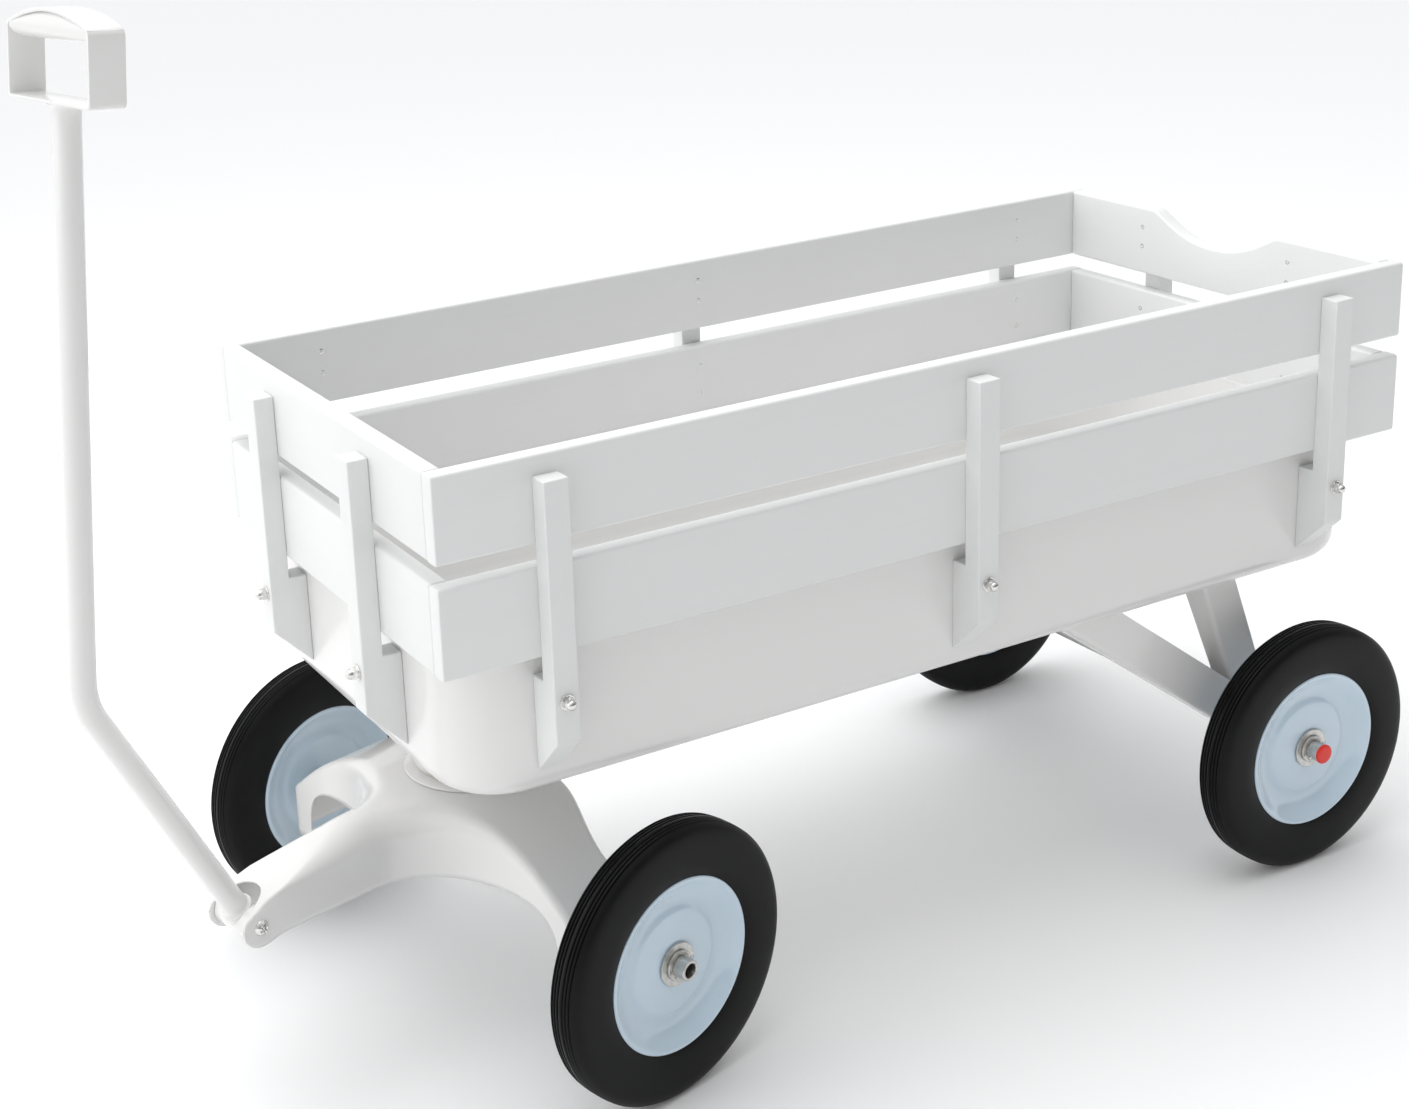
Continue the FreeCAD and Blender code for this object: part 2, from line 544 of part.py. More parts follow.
def tyre_outline():
    """Half the tyre's section from bore to tread, then its mirror; three grooves in the tread."""
    face = [(DISC_RADIUS, 15.0), (84, 16.6), (100, 18.0), (116, 17.4), (122.5, 15.6), (126, 12.6)]
    tread = []
    for middle in (9.0, 3.2):
        tread += [(WHEEL_RADIUS, middle + 1.6), (WHEEL_RADIUS - GROOVE, middle + 0.8),
                  (WHEEL_RADIUS - GROOVE, middle - 0.8), (WHEEL_RADIUS, middle - 1.6)]
    side = face + tread
    return side + [(r, -h) for r, h in reversed(side)]


def disc_outline():
    """A dished disc with a flange that the tyre sits on."""
    outer_line = [(DISC_RADIUS, 0.3), (DISC_RADIUS, 15.0), (76, 16.2), (71, 14.4), (60, 9.2), (48, 7.6),
                  (34, 9.0), (20, 9.8), (14.0, 9.8)]
    inner_line = [(14.0, 9.8 - DISC_SHEET), (20, 9.8 - DISC_SHEET), (34, 9.0 - DISC_SHEET),
                  (48, 7.6 - DISC_SHEET), (60, 9.0 - DISC_SHEET), (72, 12.6),
                  (DISC_RADIUS - DISC_SHEET, 13.2), (DISC_RADIUS - DISC_SHEET, 0.3)]
    return outer_line + inner_line


tyre = turned(tyre_outline(), (0, 0, 0), (0, 1, 0))
disc = turned(disc_outline(), (0, 0, 0), (0, 1, 0))
disc_pair = Part.makeCompound([disc, turned(disc_outline(), (0, 0, 0), (0, -1, 0))])
HUB_RADIUS = 14.0
hub = rod(HUB_RADIUS, (0, -HUB_HALF, 0), (0, HUB_HALF, 0), AXLE_RADIUS + RUNNING_FIT)
wheel = {"tyre": tyre, "discs": disc_pair, "hub": hub}

PIN_Y = TRACK_HALF + 20.0
PIN_RADIUS = 1.6
PIN_HALF = 12.5
SPACER_RADIUS = 13.0
WIDE_WASHER = (20.0, 1.6)   # radius and thickness
SMALL_WASHER = (14.0, 2.6)


def axle_set(inner_face):
    """The loose pieces on both ends of an axle: sleeves, and the washers and pins that keep the wheels."""
    sleeves, keepers = [], []
    for side in (1, -1):
        near = side * (TRACK_HALF - HUB_HALF - END_PLAY)
        far = side * (TRACK_HALF + HUB_HALF + END_PLAY)
        middle = far + side * WIDE_WASHER[1]
        end = middle + side * SMALL_WASHER[1]
        sleeves.append(rod(SPACER_RADIUS, (0, side * inner_face, 0), (0, near, 0), AXLE_RADIUS))
        keepers.append(rod(WIDE_WASHER[0], (0, far, 0), (0, middle, 0), AXLE_RADIUS))
        keepers.append(rod(SMALL_WASHER[0], (0, middle, 0), (0, end, 0), AXLE_RADIUS))
        keepers.append(rod(PIN_RADIUS, (0, side * PIN_Y, -PIN_HALF), (0, side * PIN_Y, PIN_HALF)))
    return {"sleeves": sleeves, "keepers": keepers}


# ---- put the running gear together -----------------------------------------------------------
for end, inner_face, target in (("front", SADDLE_SPAN, steered), ("rear", LEG_Y, nodes)):
    middle_x = 0.0 if end == "front" else REAR_AXLE_X
    for part_name, shapes in axle_set(inner_face).items():
        group = Part.makeCompound(shapes)
        group.translate(Vector(middle_x, 0, WHEEL_RADIUS))
        target[f"{end}_axle_{part_name}"] = group
    axle_name = f"{end}_axle"
    target[axle_name] = target[axle_name].cut(target[f"{end}_axle_keepers"])
    for side_name, side in (("left", 1), ("right", -1)):
        for part_name, shape in wheel.items():
            copy = shape.copy()
            copy.translate(Vector(middle_x, side * TRACK_HALF, WHEEL_RADIUS))
            target[f"{end}_{side_name}_{part_name}"] = copy

PLUG = 4.0                  # how far the caps reach into the axle
LID = 3.0
caps = []
for side in (1, -1):
    end_y = side * AXLE_END
    axle_end = (REAR_AXLE_X, end_y, WHEEL_RADIUS)
    plug = rod(AXLE_BORE, (REAR_AXLE_X, end_y - side * PLUG, WHEEL_RADIUS), axle_end)
    lid = rod(AXLE_RADIUS + 0.4, axle_end, (REAR_AXLE_X, end_y + side * LID, WHEEL_RADIUS))
    caps.append(plug.fuse(lid))
nodes["axle_caps"] = Part.makeCompound(caps)

for name, shape in steered.items():
    copy = shape.copy()
    copy.rotate(ORIGIN, Z_AXIS, STEER_AT_REST)
    copy.translate(Vector(KINGPIN_X, 0, 0))
    nodes[name] = copy

# ---- move everything to the origin and write it ------------------------------------------------
whole = FreeCAD.BoundBox()
for shape in nodes.values():
    whole.add(shape.optimalBoundingBox(False, False))
shift = Vector(-whole.Center.x, -whole.Center.y, -whole.ZMin)

os.makedirs("parts", exist_ok=True)
for name, shape in nodes.items():
    shape = shape.copy()
    shape.translate(shift)
    shape.exportStep(f"parts/{name}.step")
print(len(nodes), "nodes, shift", shift, "size", whole.XLength, whole.YLength, whole.ZLength)
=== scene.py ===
import math
import bmesh
import bpy
import numpy as np
from mathutils import Matrix, Vector


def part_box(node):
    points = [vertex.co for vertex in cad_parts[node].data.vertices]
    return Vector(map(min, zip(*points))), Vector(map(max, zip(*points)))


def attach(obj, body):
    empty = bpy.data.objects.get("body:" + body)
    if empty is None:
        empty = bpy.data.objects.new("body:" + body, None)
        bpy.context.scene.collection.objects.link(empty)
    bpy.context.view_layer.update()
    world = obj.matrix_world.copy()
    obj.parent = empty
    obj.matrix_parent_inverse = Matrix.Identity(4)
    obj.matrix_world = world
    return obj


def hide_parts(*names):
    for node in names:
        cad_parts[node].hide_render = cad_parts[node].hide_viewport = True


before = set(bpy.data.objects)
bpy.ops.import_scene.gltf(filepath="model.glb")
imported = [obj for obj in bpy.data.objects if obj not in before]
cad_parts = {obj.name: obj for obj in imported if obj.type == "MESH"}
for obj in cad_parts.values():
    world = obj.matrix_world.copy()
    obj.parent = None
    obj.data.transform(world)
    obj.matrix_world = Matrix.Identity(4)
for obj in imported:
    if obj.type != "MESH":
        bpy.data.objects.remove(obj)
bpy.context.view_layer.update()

# ---- where the wagon stands -------------------------------------------------------
# The wagon's own landmarks, read from the frame: the tray's middle, the rear axle and
# the kingpin that the front axle steers about. Everything below is placed from them.
MID_X = sum(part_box("tray"), Vector()).x / 2
REAR_AXLE = sum(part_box("rear_axle"), Vector()) / 2
KINGPIN = sum(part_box("kingpin"), Vector()) / 2
STEER = math.radians(14.0)      # how far the front axle is turned to the left as it stands
AXLE_Z = REAR_AXLE.z

# ---- camera, lights and floor -----------------------------------------------------
# A long lens from the wagon's front left, a little above it. The rows of its matrix hold
# its right, its up and its back. One broad lamp stands at the front, a softer one overhead.
camera_data = bpy.data.cameras.new("camera")
camera = bpy.data.objects.new("camera", camera_data)
bpy.context.scene.collection.objects.link(camera)
camera_data.sensor_width = 36.0
camera_data.lens = 55.34
camera_data.shift_x = 0.1207
camera_data.shift_y = -0.1323
camera_data.clip_end = 50.0
camera_place = REAR_AXLE + Vector((1.5652, 1.6516, 1.1441 - AXLE_Z))
camera.matrix_world = Matrix((
    (-0.881, -0.177, 0.439, camera_place.x),
    (0.471, -0.228, 0.852, camera_place.y),
    (-0.051, 0.957, 0.284, camera_place.z),
    (0.0, 0.0, 0.0, 1.0)))
bpy.context.scene.camera = camera
bpy.context.scene.view_settings.view_transform = "Standard"


def lamp(name, place, aim, size, power, colour):
    """A square soft lamp at a place, turned to face a point."""
    light = bpy.data.lights.new(name, "AREA")
    light.shape = "RECTANGLE"
    light.size, light.size_y = size
    light.energy = power
    light.color = colour
    holder = bpy.data.objects.new(name, light)
    holder.location = place
    holder.rotation_euler = (Vector(aim) - Vector(place)).to_track_quat("-Z", "Y").to_euler()
    bpy.context.scene.collection.objects.link(holder)


lamp("front_lamp", (3.2, -0.5, 1.5), (0.0, 0.0, 0.35), (2.2, 2.0), 12.0, (1.0, 1.0, 1.0))
lamp("top_lamp", (0.2, -0.3, 3.2), (0.0, 0.0, 0.2), (3.2, 2.4), 40.0, (1.0, 1.0, 1.0))

# The rest of the room is a plain pale tent, brightest overhead and towards the front, and
# dimmest low on the wagon's left.
world = bpy.data.worlds.new("studio")
world.use_nodes = True
tent = world.node_tree
direction = tent.nodes.new("ShaderNodeTexCoord")
facing = tent.nodes.new("ShaderNodeVectorMath")
facing.operation = "DOT_PRODUCT"
facing.inputs[1].default_value = (0.34, -0.62, 0.71)
level = tent.nodes.new("ShaderNodeMapRange")
level.inputs["From Min"].default_value = -0.60
level.inputs["From Max"].default_value = 1.00
level.inputs["To Min"].default_value = 0.08
level.inputs["To Max"].default_value = 1.43
tent.links.new(direction.outputs["Generated"], facing.inputs[0])
tent.links.new(facing.outputs["Value"], level.inputs["Value"])
tent.links.new(level.outputs["Result"], tent.nodes["Background"].inputs["Strength"])
tent.nodes["Background"].inputs["Color"].default_value = (0.985, 0.99, 1.0, 1.0)
bpy.context.scene.world = world

floor_mesh = bpy.data.meshes.new("studio_floor")
floor_mesh.from_pydata([(-30, -30, 0), (30, -30, 0), (30, 30, 0), (-30, 30, 0)], [], [(0, 1, 2, 3)])
studio_floor = bpy.data.objects.new("studio_floor", floor_mesh)
bpy.context.scene.collection.objects.link(studio_floor)
floor_paint = bpy.data.materials.new("floor_paint")
floor_paint.use_nodes = True
floor_paint.node_tree.nodes["Principled BSDF"].inputs["Base Color"].default_value = (0.93, 0.93, 0.93, 1)
floor_paint.node_tree.nodes["Principled BSDF"].inputs["Roughness"].default_value = 0.85
floor_mesh.materials.append(floor_paint)


# ---- tray -------------------------------------------------------------------------
# One deep-drawn pan of sheet steel with round corners and a round foot, baked white
# enamel. It hangs inside the stakes, held by a bolt through the foot of each one.
TRAY_HALF = (0.507, 0.217)
TRAY_Z = (0.300, 0.437)
TRAY_CORNER = 0.066
TRAY_FOOT = 0.024
TRAY_SHEET = 0.0014


def put(tree, socket, value):
    """Fill an input socket: another socket is joined to it, anything else is set in it."""
    if isinstance(value, bpy.types.NodeSocket):
        tree.links.new(value, socket)
    else:
        socket.default_value = value


def node(tree, kind, **values):
    """Add a shader node, set its plain properties and fill its inputs by name."""
    made = tree.nodes.new(kind)
    for key, value in values.items():
        if hasattr(made, key):
            setattr(made, key, value)
        else:
            put(tree, made.inputs[key.replace("_", " ")], value)
    return made


def maths(tree, operation, *terms):
    """The result of one sum over sockets and plain numbers."""
    made = node(tree, "ShaderNodeMath", operation=operation)
    for socket, term in zip(made.inputs, terms):
        put(tree, socket, term)
    return made.outputs[0]


def noise(tree, chart, **values):
    """Cloudy noise laid on a chart."""
    return node(tree, "ShaderNodeTexNoise", Vector=chart, **values).outputs["Fac"]


def stretched(tree, chart, scale):
    """A chart scaled along each of its directions, so that noise on it draws out in lines."""
    return node(tree, "ShaderNodeMapping", Vector=chart, Scale=scale).outputs["Vector"]


def ramp(tree, value, low, high):
    """A value spread so that low becomes nought and high becomes one."""
    return node(tree, "ShaderNodeMapRange", Value=value, From_Min=low, From_Max=high).outputs["Result"]


def blend(tree, share, first, second):
    """Two colours mixed by a share."""
    return node(tree, "ShaderNodeMix", data_type="RGBA", Factor=share, A=first, B=second).outputs["Result"]


def drifted(tree, paint, cloud, middle, drift):
    """A colour made a little darker or lighter as a cloud falls below or rises above its middle."""
    value = maths(tree, "MULTIPLY_ADD", maths(tree, "SUBTRACT", cloud, middle), drift, 1.0)
    return node(tree, "ShaderNodeHueSaturation", Color=paint, Value=value).outputs["Color"]


def effect(name, inputs):
    """Start a shader node group that takes a chart and named inputs (name, kind, value) and
    gives a colour, a roughness and a height."""
    tree = bpy.data.node_groups.new(name, "ShaderNodeTree")
    for label, kind, value in [("Vector", "Vector", None)] + inputs:
        socket = tree.interface.new_socket(label, in_out="INPUT", socket_type="NodeSocket" + kind)
        if value is not None:
            socket.default_value = value
    for label, kind in (("Color", "Color"), ("Roughness", "Float"), ("Height", "Float")):
        tree.interface.new_socket(label, in_out="OUTPUT", socket_type="NodeSocket" + kind)
    return tree, tree.nodes.new("NodeGroupInput").outputs, tree.nodes.new("NodeGroupOutput").inputs


def enamel_effect():
    """Baked enamel: the shade drifts a little over broad areas, the film has a fine orange
    peel and broad soft waves, and a thin film of dust and hand marks changes its gloss."""
    tree, given, out = effect("baked_enamel", [
        ("Paint", "Color", (0.8, 0.8, 0.8, 1)), ("Drift", "Float", 0.03), ("Peel", "Float", 0.3),
        ("Gloss", "Float", 0.2), ("Marks", "Float", 0.1)])
    chart = given["Vector"]
    broad = noise(tree, chart, Scale=5.0, Detail=3.0, Roughness=0.5)
    put(tree, out["Color"], drifted(tree, given["Paint"], broad, 0.5, given["Drift"]))
    smear = noise(tree, chart, Scale=14.0, Detail=6.0, Roughness=0.65, Distortion=1.2)
    patch = ramp(tree, smear, 0.45, 0.75)
    put(tree, out["Roughness"], maths(tree, "MULTIPLY_ADD", patch, given["Marks"], given["Gloss"]))
    peel = noise(tree, chart, Scale=420.0, Detail=2.0, Roughness=0.45)
    wave = noise(tree, chart, Scale=28.0, Detail=1.0)
    both = maths(tree, "MULTIPLY_ADD", wave, 1.6, peel)
    put(tree, out["Height"], maths(tree, "MULTIPLY", both, given["Peel"]))
    return tree


ENAMEL = enamel_effect()


def finish(name, group, values, depth, metallic=0.0, coordinates="Object", **fixed):
    """A material from one effect group: its colour, roughness and height go to the shader,
    and the shader's constant sockets are set by name."""
    material = bpy.data.materials.new(name)
    material.use_nodes = True
    tree = material.node_tree
    chart = node(tree, "ShaderNodeTexCoord").outputs[coordinates]
    box = node(tree, "ShaderNodeGroup", node_tree=group, Vector=chart, **values)
    bump = node(tree, "ShaderNodeBump", Distance=depth, Height=box.outputs["Height"])
    fixed.update(Base_Color=box.outputs["Color"], Roughness=box.outputs["Roughness"],
                 Normal=bump.outputs["Normal"], Metallic=metallic)
    for key, value in fixed.items():
        put(tree, tree.nodes["Principled BSDF"].inputs[key.replace("_", " ")], value)
    return material


white_enamel = finish("white_enamel", ENAMEL,
                      {"Paint": (0.80, 0.795, 0.785, 1), "Drift": 0.02, "Peel": 0.35, "Gloss": 0.24,
                       "Marks": 0.03}, 0.00012, Coat_Weight=0.35, Coat_Roughness=0.08)


def skin(name, sheets, material, sharp=38.0, weld=2e-6, outward=True):
    """One mesh from sheets of points. Each sheet is an (m, n, 3) array whose neighbouring rows
    and columns are joined by four-sided faces; where its edges meet they are welded. The UV
    map holds the distance in metres along the columns and along the rows."""
    points, faces, lengths, count = [], [], [], 0
    for grid in sheets:
        m, n = grid.shape[:2]
        index = np.arange(m * n).reshape(m, n) + count
        faces.append(np.stack([index[:-1, :-1], index[:-1, 1:], index[1:, 1:], index[1:, :-1]],
                              -1).reshape(-1, 4))
        across = np.linalg.norm(np.diff(grid, axis=1), axis=2).max(0)
        along = np.linalg.norm(np.diff(grid, axis=0), axis=2).max(1)
        u = np.concatenate([[0.0], np.cumsum(across)])
        v = np.concatenate([[0.0], np.cumsum(along)])
        lengths.append(np.stack(np.meshgrid(u, v), -1).reshape(-1, 2))
        points.append(grid.reshape(-1, 3))
        count += m * n
    faces = np.concatenate(faces)
    mesh = bpy.data.meshes.new(name)
    mesh.from_pydata(np.concatenate(points).tolist(), [], faces.tolist())
    chart = mesh.uv_layers.new(name="lengths")
    chart.data.foreach_set("uv", np.concatenate(lengths)[faces.reshape(-1)].astype(np.float32).reshape(-1))
    work = bmesh.new()
    work.from_mesh(mesh)
    bmesh.ops.remove_doubles(work, verts=work.verts, dist=weld)
    bmesh.ops.dissolve_degenerate(work, edges=work.edges, dist=weld)
    if outward:
        bmesh.ops.recalc_face_normals(work, faces=work.faces)
    work.to_mesh(mesh)
    work.free()
    mesh.materials.append(material)
    mesh.shade_smooth()
    mesh.set_sharp_from_angle(angle=math.radians(sharp))
    piece = bpy.data.objects.new(name, mesh)
    bpy.context.scene.collection.objects.link(piece)
    return piece


def stands_for(piece, body, slot, *cad_nodes):
    """The piece rides on a body and takes the place of CAD nodes."""
    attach(piece, body)
    for cad_node in cad_nodes:
        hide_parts(cad_node)
    return piece


def round_rectangle(half_x, half_y, corner, steps=12):
    """A closed loop round a rectangle whose corners are quarter circles: each quarter adds
    its centre to corner times (cos, sin) of the turning angle. The last point is the first."""
    angle = np.linspace(0, math.pi / 2, steps + 1)
    loop = []
    for turn, (sx, sy) in enumerate(((1, 1), (-1, 1), (-1, -1), (1, -1))):
        a = angle + turn * math.pi / 2
        loop.append(np.stack([sx * (half_x - corner) + corner * np.cos(a),
                              sy * (half_y - corner) + corner * np.sin(a)], -1))
    loop = np.concatenate(loop)
    return np.concatenate([loop, loop[:1]])


def tray_sheet():
    """The pan as rings: each ring is a round rectangle shrunk by an inset at a height. The
    insets and heights follow the section from the middle of the floor's underside, round the
    foot and up to the rim, over it, and back down inside to the middle of the floor."""
    turn = np.linspace(0, math.pi / 2, 9)
    foot_inset = TRAY_FOOT * (1 - np.sin(turn))
    foot_height = TRAY_Z[0] + TRAY_FOOT * (1 - np.cos(turn))
    outside = [(TRAY_HALF[1] - 0.0005, TRAY_Z[0]), (0.15, TRAY_Z[0]), (0.07, TRAY_Z[0])]
    outside += list(zip(foot_inset, foot_height))
    outside += [(0.0, z) for z in np.linspace(TRAY_Z[0] + TRAY_FOOT, TRAY_Z[1] - 0.0004, 6)[1:]]
    inside = [(inset + TRAY_SHEET * np.clip((TRAY_HALF[1] - inset) / 0.02, 0, 1),
               z + TRAY_SHEET * (inset > 0)) for inset, z in reversed(outside)]
    rings = []
    for inset, z in outside + [(TRAY_SHEET / 2, TRAY_Z[1])] + inside:
        corner = max(TRAY_CORNER - inset, 0.0002)
        loop = round_rectangle(TRAY_HALF[0] - inset, TRAY_HALF[1] - inset, corner)
        rings.append(np.column_stack([loop[:, 0] + MID_X, loop[:, 1], np.full(len(loop), z)]))
    return np.stack(rings)


tray = skin("tray_pan", [tray_sheet()], white_enamel, sharp=60)
stands_for(tray, "body", "white_enamel", "tray")


# ---- boards -----------------------------------------------------------------------
# Two tiers of planed boards, long edges eased and ends lightly rounded, in opaque satin
# white. The long boards run past the ends of the short ones; the rear top one is scooped.
BOARD = 0.017
BOARD_ROUND = 0.003
OUTSIDE = (0.524, 0.234)        # half the length and half the width outside the boards
TIERS = {"upper": (0.528, 0.602), "lower": (0.431, 0.509)}
SCOOP = (0.176, 0.028)          # width and depth of the dip in the rear top board


def painted_board_effect():
    """Satin paint over planed wood, on a chart measured along the grain: long faint ridges
    follow the grain, short brush strokes lie over them, and handling leaves dull patches."""
    tree, given, out = effect("painted_board", [
        ("Paint", "Color", (0.8, 0.8, 0.8, 1)), ("Drift", "Float", 0.04), ("Grain", "Float", 1.0),
        ("Gloss", "Float", 0.4)])
    chart = given["Vector"]
    along = stretched(tree, chart, (3.0, 95.0, 95.0))
    grain = noise(tree, along, Scale=1.0, Detail=5.0, Roughness=0.6, Distortion=0.35)
    stroke = noise(tree, stretched(tree, chart, (9.0, 620.0, 620.0)), Scale=1.0, Detail=2.0)
    both = maths(tree, "MULTIPLY_ADD", stroke, 0.35, grain)
    put(tree, out["Height"], maths(tree, "MULTIPLY", both, given["Grain"]))
    cloud = noise(tree, chart, Scale=7.0, Detail=4.0, Roughness=0.6)
    mixed = maths(tree, "MULTIPLY_ADD", grain, 0.5, cloud)
    put(tree, out["Color"], drifted(tree, given["Paint"], mixed, 0.75, given["Drift"]))
    put(tree, out["Roughness"], maths(tree, "MULTIPLY_ADD", cloud, 0.16, given["Gloss"]))
    return tree


PAINTED_BOARD = painted_board_effect()
white_wood = finish("white_wood", PAINTED_BOARD,
                    {"Paint": (0.782, 0.788, 0.784, 1), "Drift": 0.05, "Grain": 0.8, "Gloss": 0.32},
                    0.00025, coordinates="UV", Coat_Weight=0.08, Coat_Roughness=0.3)


def board_sheet(length, height, ease=0.0015, top_drop=None):
    """A plank lying along X from 0 to length, its back on Y = 0 and its foot on Z = 0. Its
    section is a round rectangle carried along the length; near each end the section shrinks
    by one minus the sine of a quarter turn and then closes on its middle line. top_drop is a
    function of the place along the plank that lowers the top edge."""
    turn = np.linspace(0, math.pi / 2, 5)
    end_x = ease * (1 - np.cos(turn))
    end_in = ease * (1 - np.sin(turn))
    middle = np.linspace(0, length, 97 if top_drop is not None else 13)[1:-1]
    place = np.concatenate([[0.0], end_x, middle, length - end_x[::-1], [length]])
    inset = np.concatenate([[ease], end_in, 0 * middle, end_in[::-1], [ease]])
    closed = np.zeros(len(place))
    closed[[0, -1]] = 1.0
    rings = []
    for x, shrink, shut in zip(place, inset, closed):
        loop = round_rectangle(BOARD / 2 - shrink, height / 2 - shrink, BOARD_ROUND, 5)
        if shut:
            loop = loop * [0.0, 1 - BOARD / height]
        drop = top_drop(x) if top_drop is not None else 0.0
        share = (loop[:, 1] + height / 2) / height
        rings.append(np.column_stack([np.full(len(loop), x), loop[:, 0] + BOARD / 2,
                                      loop[:, 1] + height / 2 - drop * share]))
    return np.stack(rings, axis=1)


def carried(points, angle, place):
    """Turn points about Z by an angle and move them."""
    c, s = math.cos(angle), math.sin(angle)
    turned = points @ np.array([[c, s, 0], [-s, c, 0], [0, 0, 1]])
    return turned + np.array(place)


def scoop_drop(x):
    """How far the rear top board is cut down at x: half a cosine wave over the scoop's width,
    its slope eased to nothing at the middle and steeper towards the shoulders."""
    from_middle = min(abs(x - (OUTSIDE[1] - BOARD)) / (SCOOP[0] / 2), 1.0)
    return SCOOP[1] * (1 - from_middle ** 2.2) ** 1.15


for tier, (low, high) in TIERS.items():
    height = high - low
    long_board = board_sheet(2 * OUTSIDE[0], height)
    short_board = board_sheet(2 * (OUTSIDE[1] - BOARD), height)
    scooped = board_sheet(2 * (OUTSIDE[1] - BOARD), height, top_drop=scoop_drop)
    for side, sheet, angle, place in (
            ("left", long_board, 0.0, (MID_X - OUTSIDE[0], OUTSIDE[1] - BOARD, low)),
            ("right", long_board, math.pi, (MID_X + OUTSIDE[0], -OUTSIDE[1] + BOARD, low)),
            ("front", short_board, -math.pi / 2, (MID_X + OUTSIDE[0] - BOARD, OUTSIDE[1] - BOARD, low)),
            ("rear", scooped if tier == "upper" else short_board, math.pi / 2,
             (MID_X - OUTSIDE[0] + BOARD, -OUTSIDE[1] + BOARD, low))):
        plank = skin(f"{side}_{tier}_plank", [carried(sheet, angle, place)], white_wood)
        stands_for(plank, "body", "white_wood", f"{side}_{tier}_board")


# ---- stakes -----------------------------------------------------------------------
# Ten square sticks stand outside the boards. Below the boards each one is cut deeper to
# reach the tray wall, and its foot is sawn off at a slope. Same satin white as the boards.
STAKE = (0.023, 0.019)          # width along the board, and depth
STAKE_TOP = 0.585
STAKE_SHOULDER = 0.411
STAKE_FOOT = 0.361
STAKE_PITCH = 0.426
END_STAKE_Y = 0.104
BOLT_Z = 0.397

stake_places = [(f"left_stake_{n}", (MID_X + x, TRAY_HALF[1]), 0.0)
                for n, x in (("front", STAKE_PITCH), ("middle", 0.0), ("rear", -STAKE_PITCH))]
stake_places += [(f"right_stake_{n}", (MID_X + x, -TRAY_HALF[1]), math.pi)
                 for n, x in (("front", STAKE_PITCH), ("middle", 0.0), ("rear", -STAKE_PITCH))]
stake_places += [(f"front_stake_{n}", (MID_X + TRAY_HALF[0], y), -math.pi / 2)
                 for n, y in (("left", END_STAKE_Y), ("right", -END_STAKE_Y))]
stake_places += [(f"rear_stake_{n}", (MID_X - TRAY_HALF[0], y), math.pi / 2)
                 for n, y in (("left", END_STAKE_Y), ("right", -END_STAKE_Y))]


def stake_sheet():
    """A stick with its inner face on Y = 0: seen from above its section is a rectangle from
    an inner line to an outer line, and both lines change with height, straight above the
    shoulder, stepping in at it, and meeting the slope at the foot."""
    reach = BOARD + STAKE[1]
    half = STAKE[0] / 2
    toe = STAKE_FOOT - reach
    inner = [(BOARD, STAKE_TOP), (BOARD, STAKE_SHOULDER), (0.0, STAKE_SHOULDER), (0.0, toe)]
    outer = [(reach, STAKE_TOP), (reach, STAKE_SHOULDER + 0.02), (reach, STAKE_SHOULDER),
             (reach, STAKE_FOOT)]
    rows = []
    for (yi, zi), (yo, zo) in zip(inner, outer):
        rows.append([(-half, yi, zi), (-half, yo, zo), (half, yo, zo), (half, yi, zi), (-half, yi, zi)])
    shut_top = [((-half if k in (0, 1, 4) else half), (BOARD + reach) / 2, STAKE_TOP) for k in range(5)]
    shut_toe = [((-half if k in (0, 1, 4) else half), reach / 2, (toe + STAKE_FOOT) / 2) for k in range(5)]
    return np.swapaxes(np.array([shut_top] + rows + [shut_toe]), 0, 1)


def eased(piece, width, segments=2, angle=30.0):
    """Round a piece's sharp edges by a small radius."""
    bevel = piece.modifiers.new("eased_edges", "BEVEL")
    bevel.width = width
    bevel.segments = segments
    bevel.limit_method = "ANGLE"
    bevel.angle_limit = math.radians(angle)
    bevel.harden_normals = False
    return piece


for name, (x, y), angle in stake_places:
    stick = skin(name.replace("stake", "stick"), [carried(stake_sheet(), angle, (x, y, 0.0))], white_wood,
                 sharp=25)
    stands_for(eased(stick, 0.0011), "body", "white_wood", name)


# ---- fasteners --------------------------------------------------------------------
# A bolt through the foot of each stake has a domed head inside the pan and a washer and
# cap nut outside, all bright plated. Countersunk cross-head screws hold the boards to
# the stakes from inside, two to a board at every stake.
NUT_FLATS = 0.010
WASHER = (0.007, 0.0014)        # radius and thickness
SCREW_HEIGHTS = (0.4565, 0.4875, 0.5585, 0.580)
SCREW_HEAD = 0.0026


def plated_effect():
    """Plated steel on a chart measured around and along the piece: fine turned lines run
    round it, and the plating clouds between a brighter and a duller, slightly warm patch."""
    tree, given, out = effect("plated_steel", [
        ("Paint", "Color", (0.7, 0.7, 0.7, 1)), ("Dull", "Color", (0.5, 0.5, 0.48, 1)),
        ("Lines", "Float", 1.0), ("Gloss", "Float", 0.2)])
    chart = given["Vector"]
    lines = noise(tree, stretched(tree, chart, (6.0, 2600.0, 1.0)), Scale=1.0, Detail=3.0, Roughness=0.6)
    put(tree, out["Height"], maths(tree, "MULTIPLY", lines, given["Lines"]))
    cloud = ramp(tree, noise(tree, chart, Scale=160.0, Detail=4.0, Roughness=0.65), 0.35, 0.7)
    put(tree, out["Color"], blend(tree, cloud, given["Paint"], given["Dull"]))
    put(tree, out["Roughness"], maths(tree, "MULTIPLY_ADD", cloud, 0.14, given["Gloss"]))
    return tree


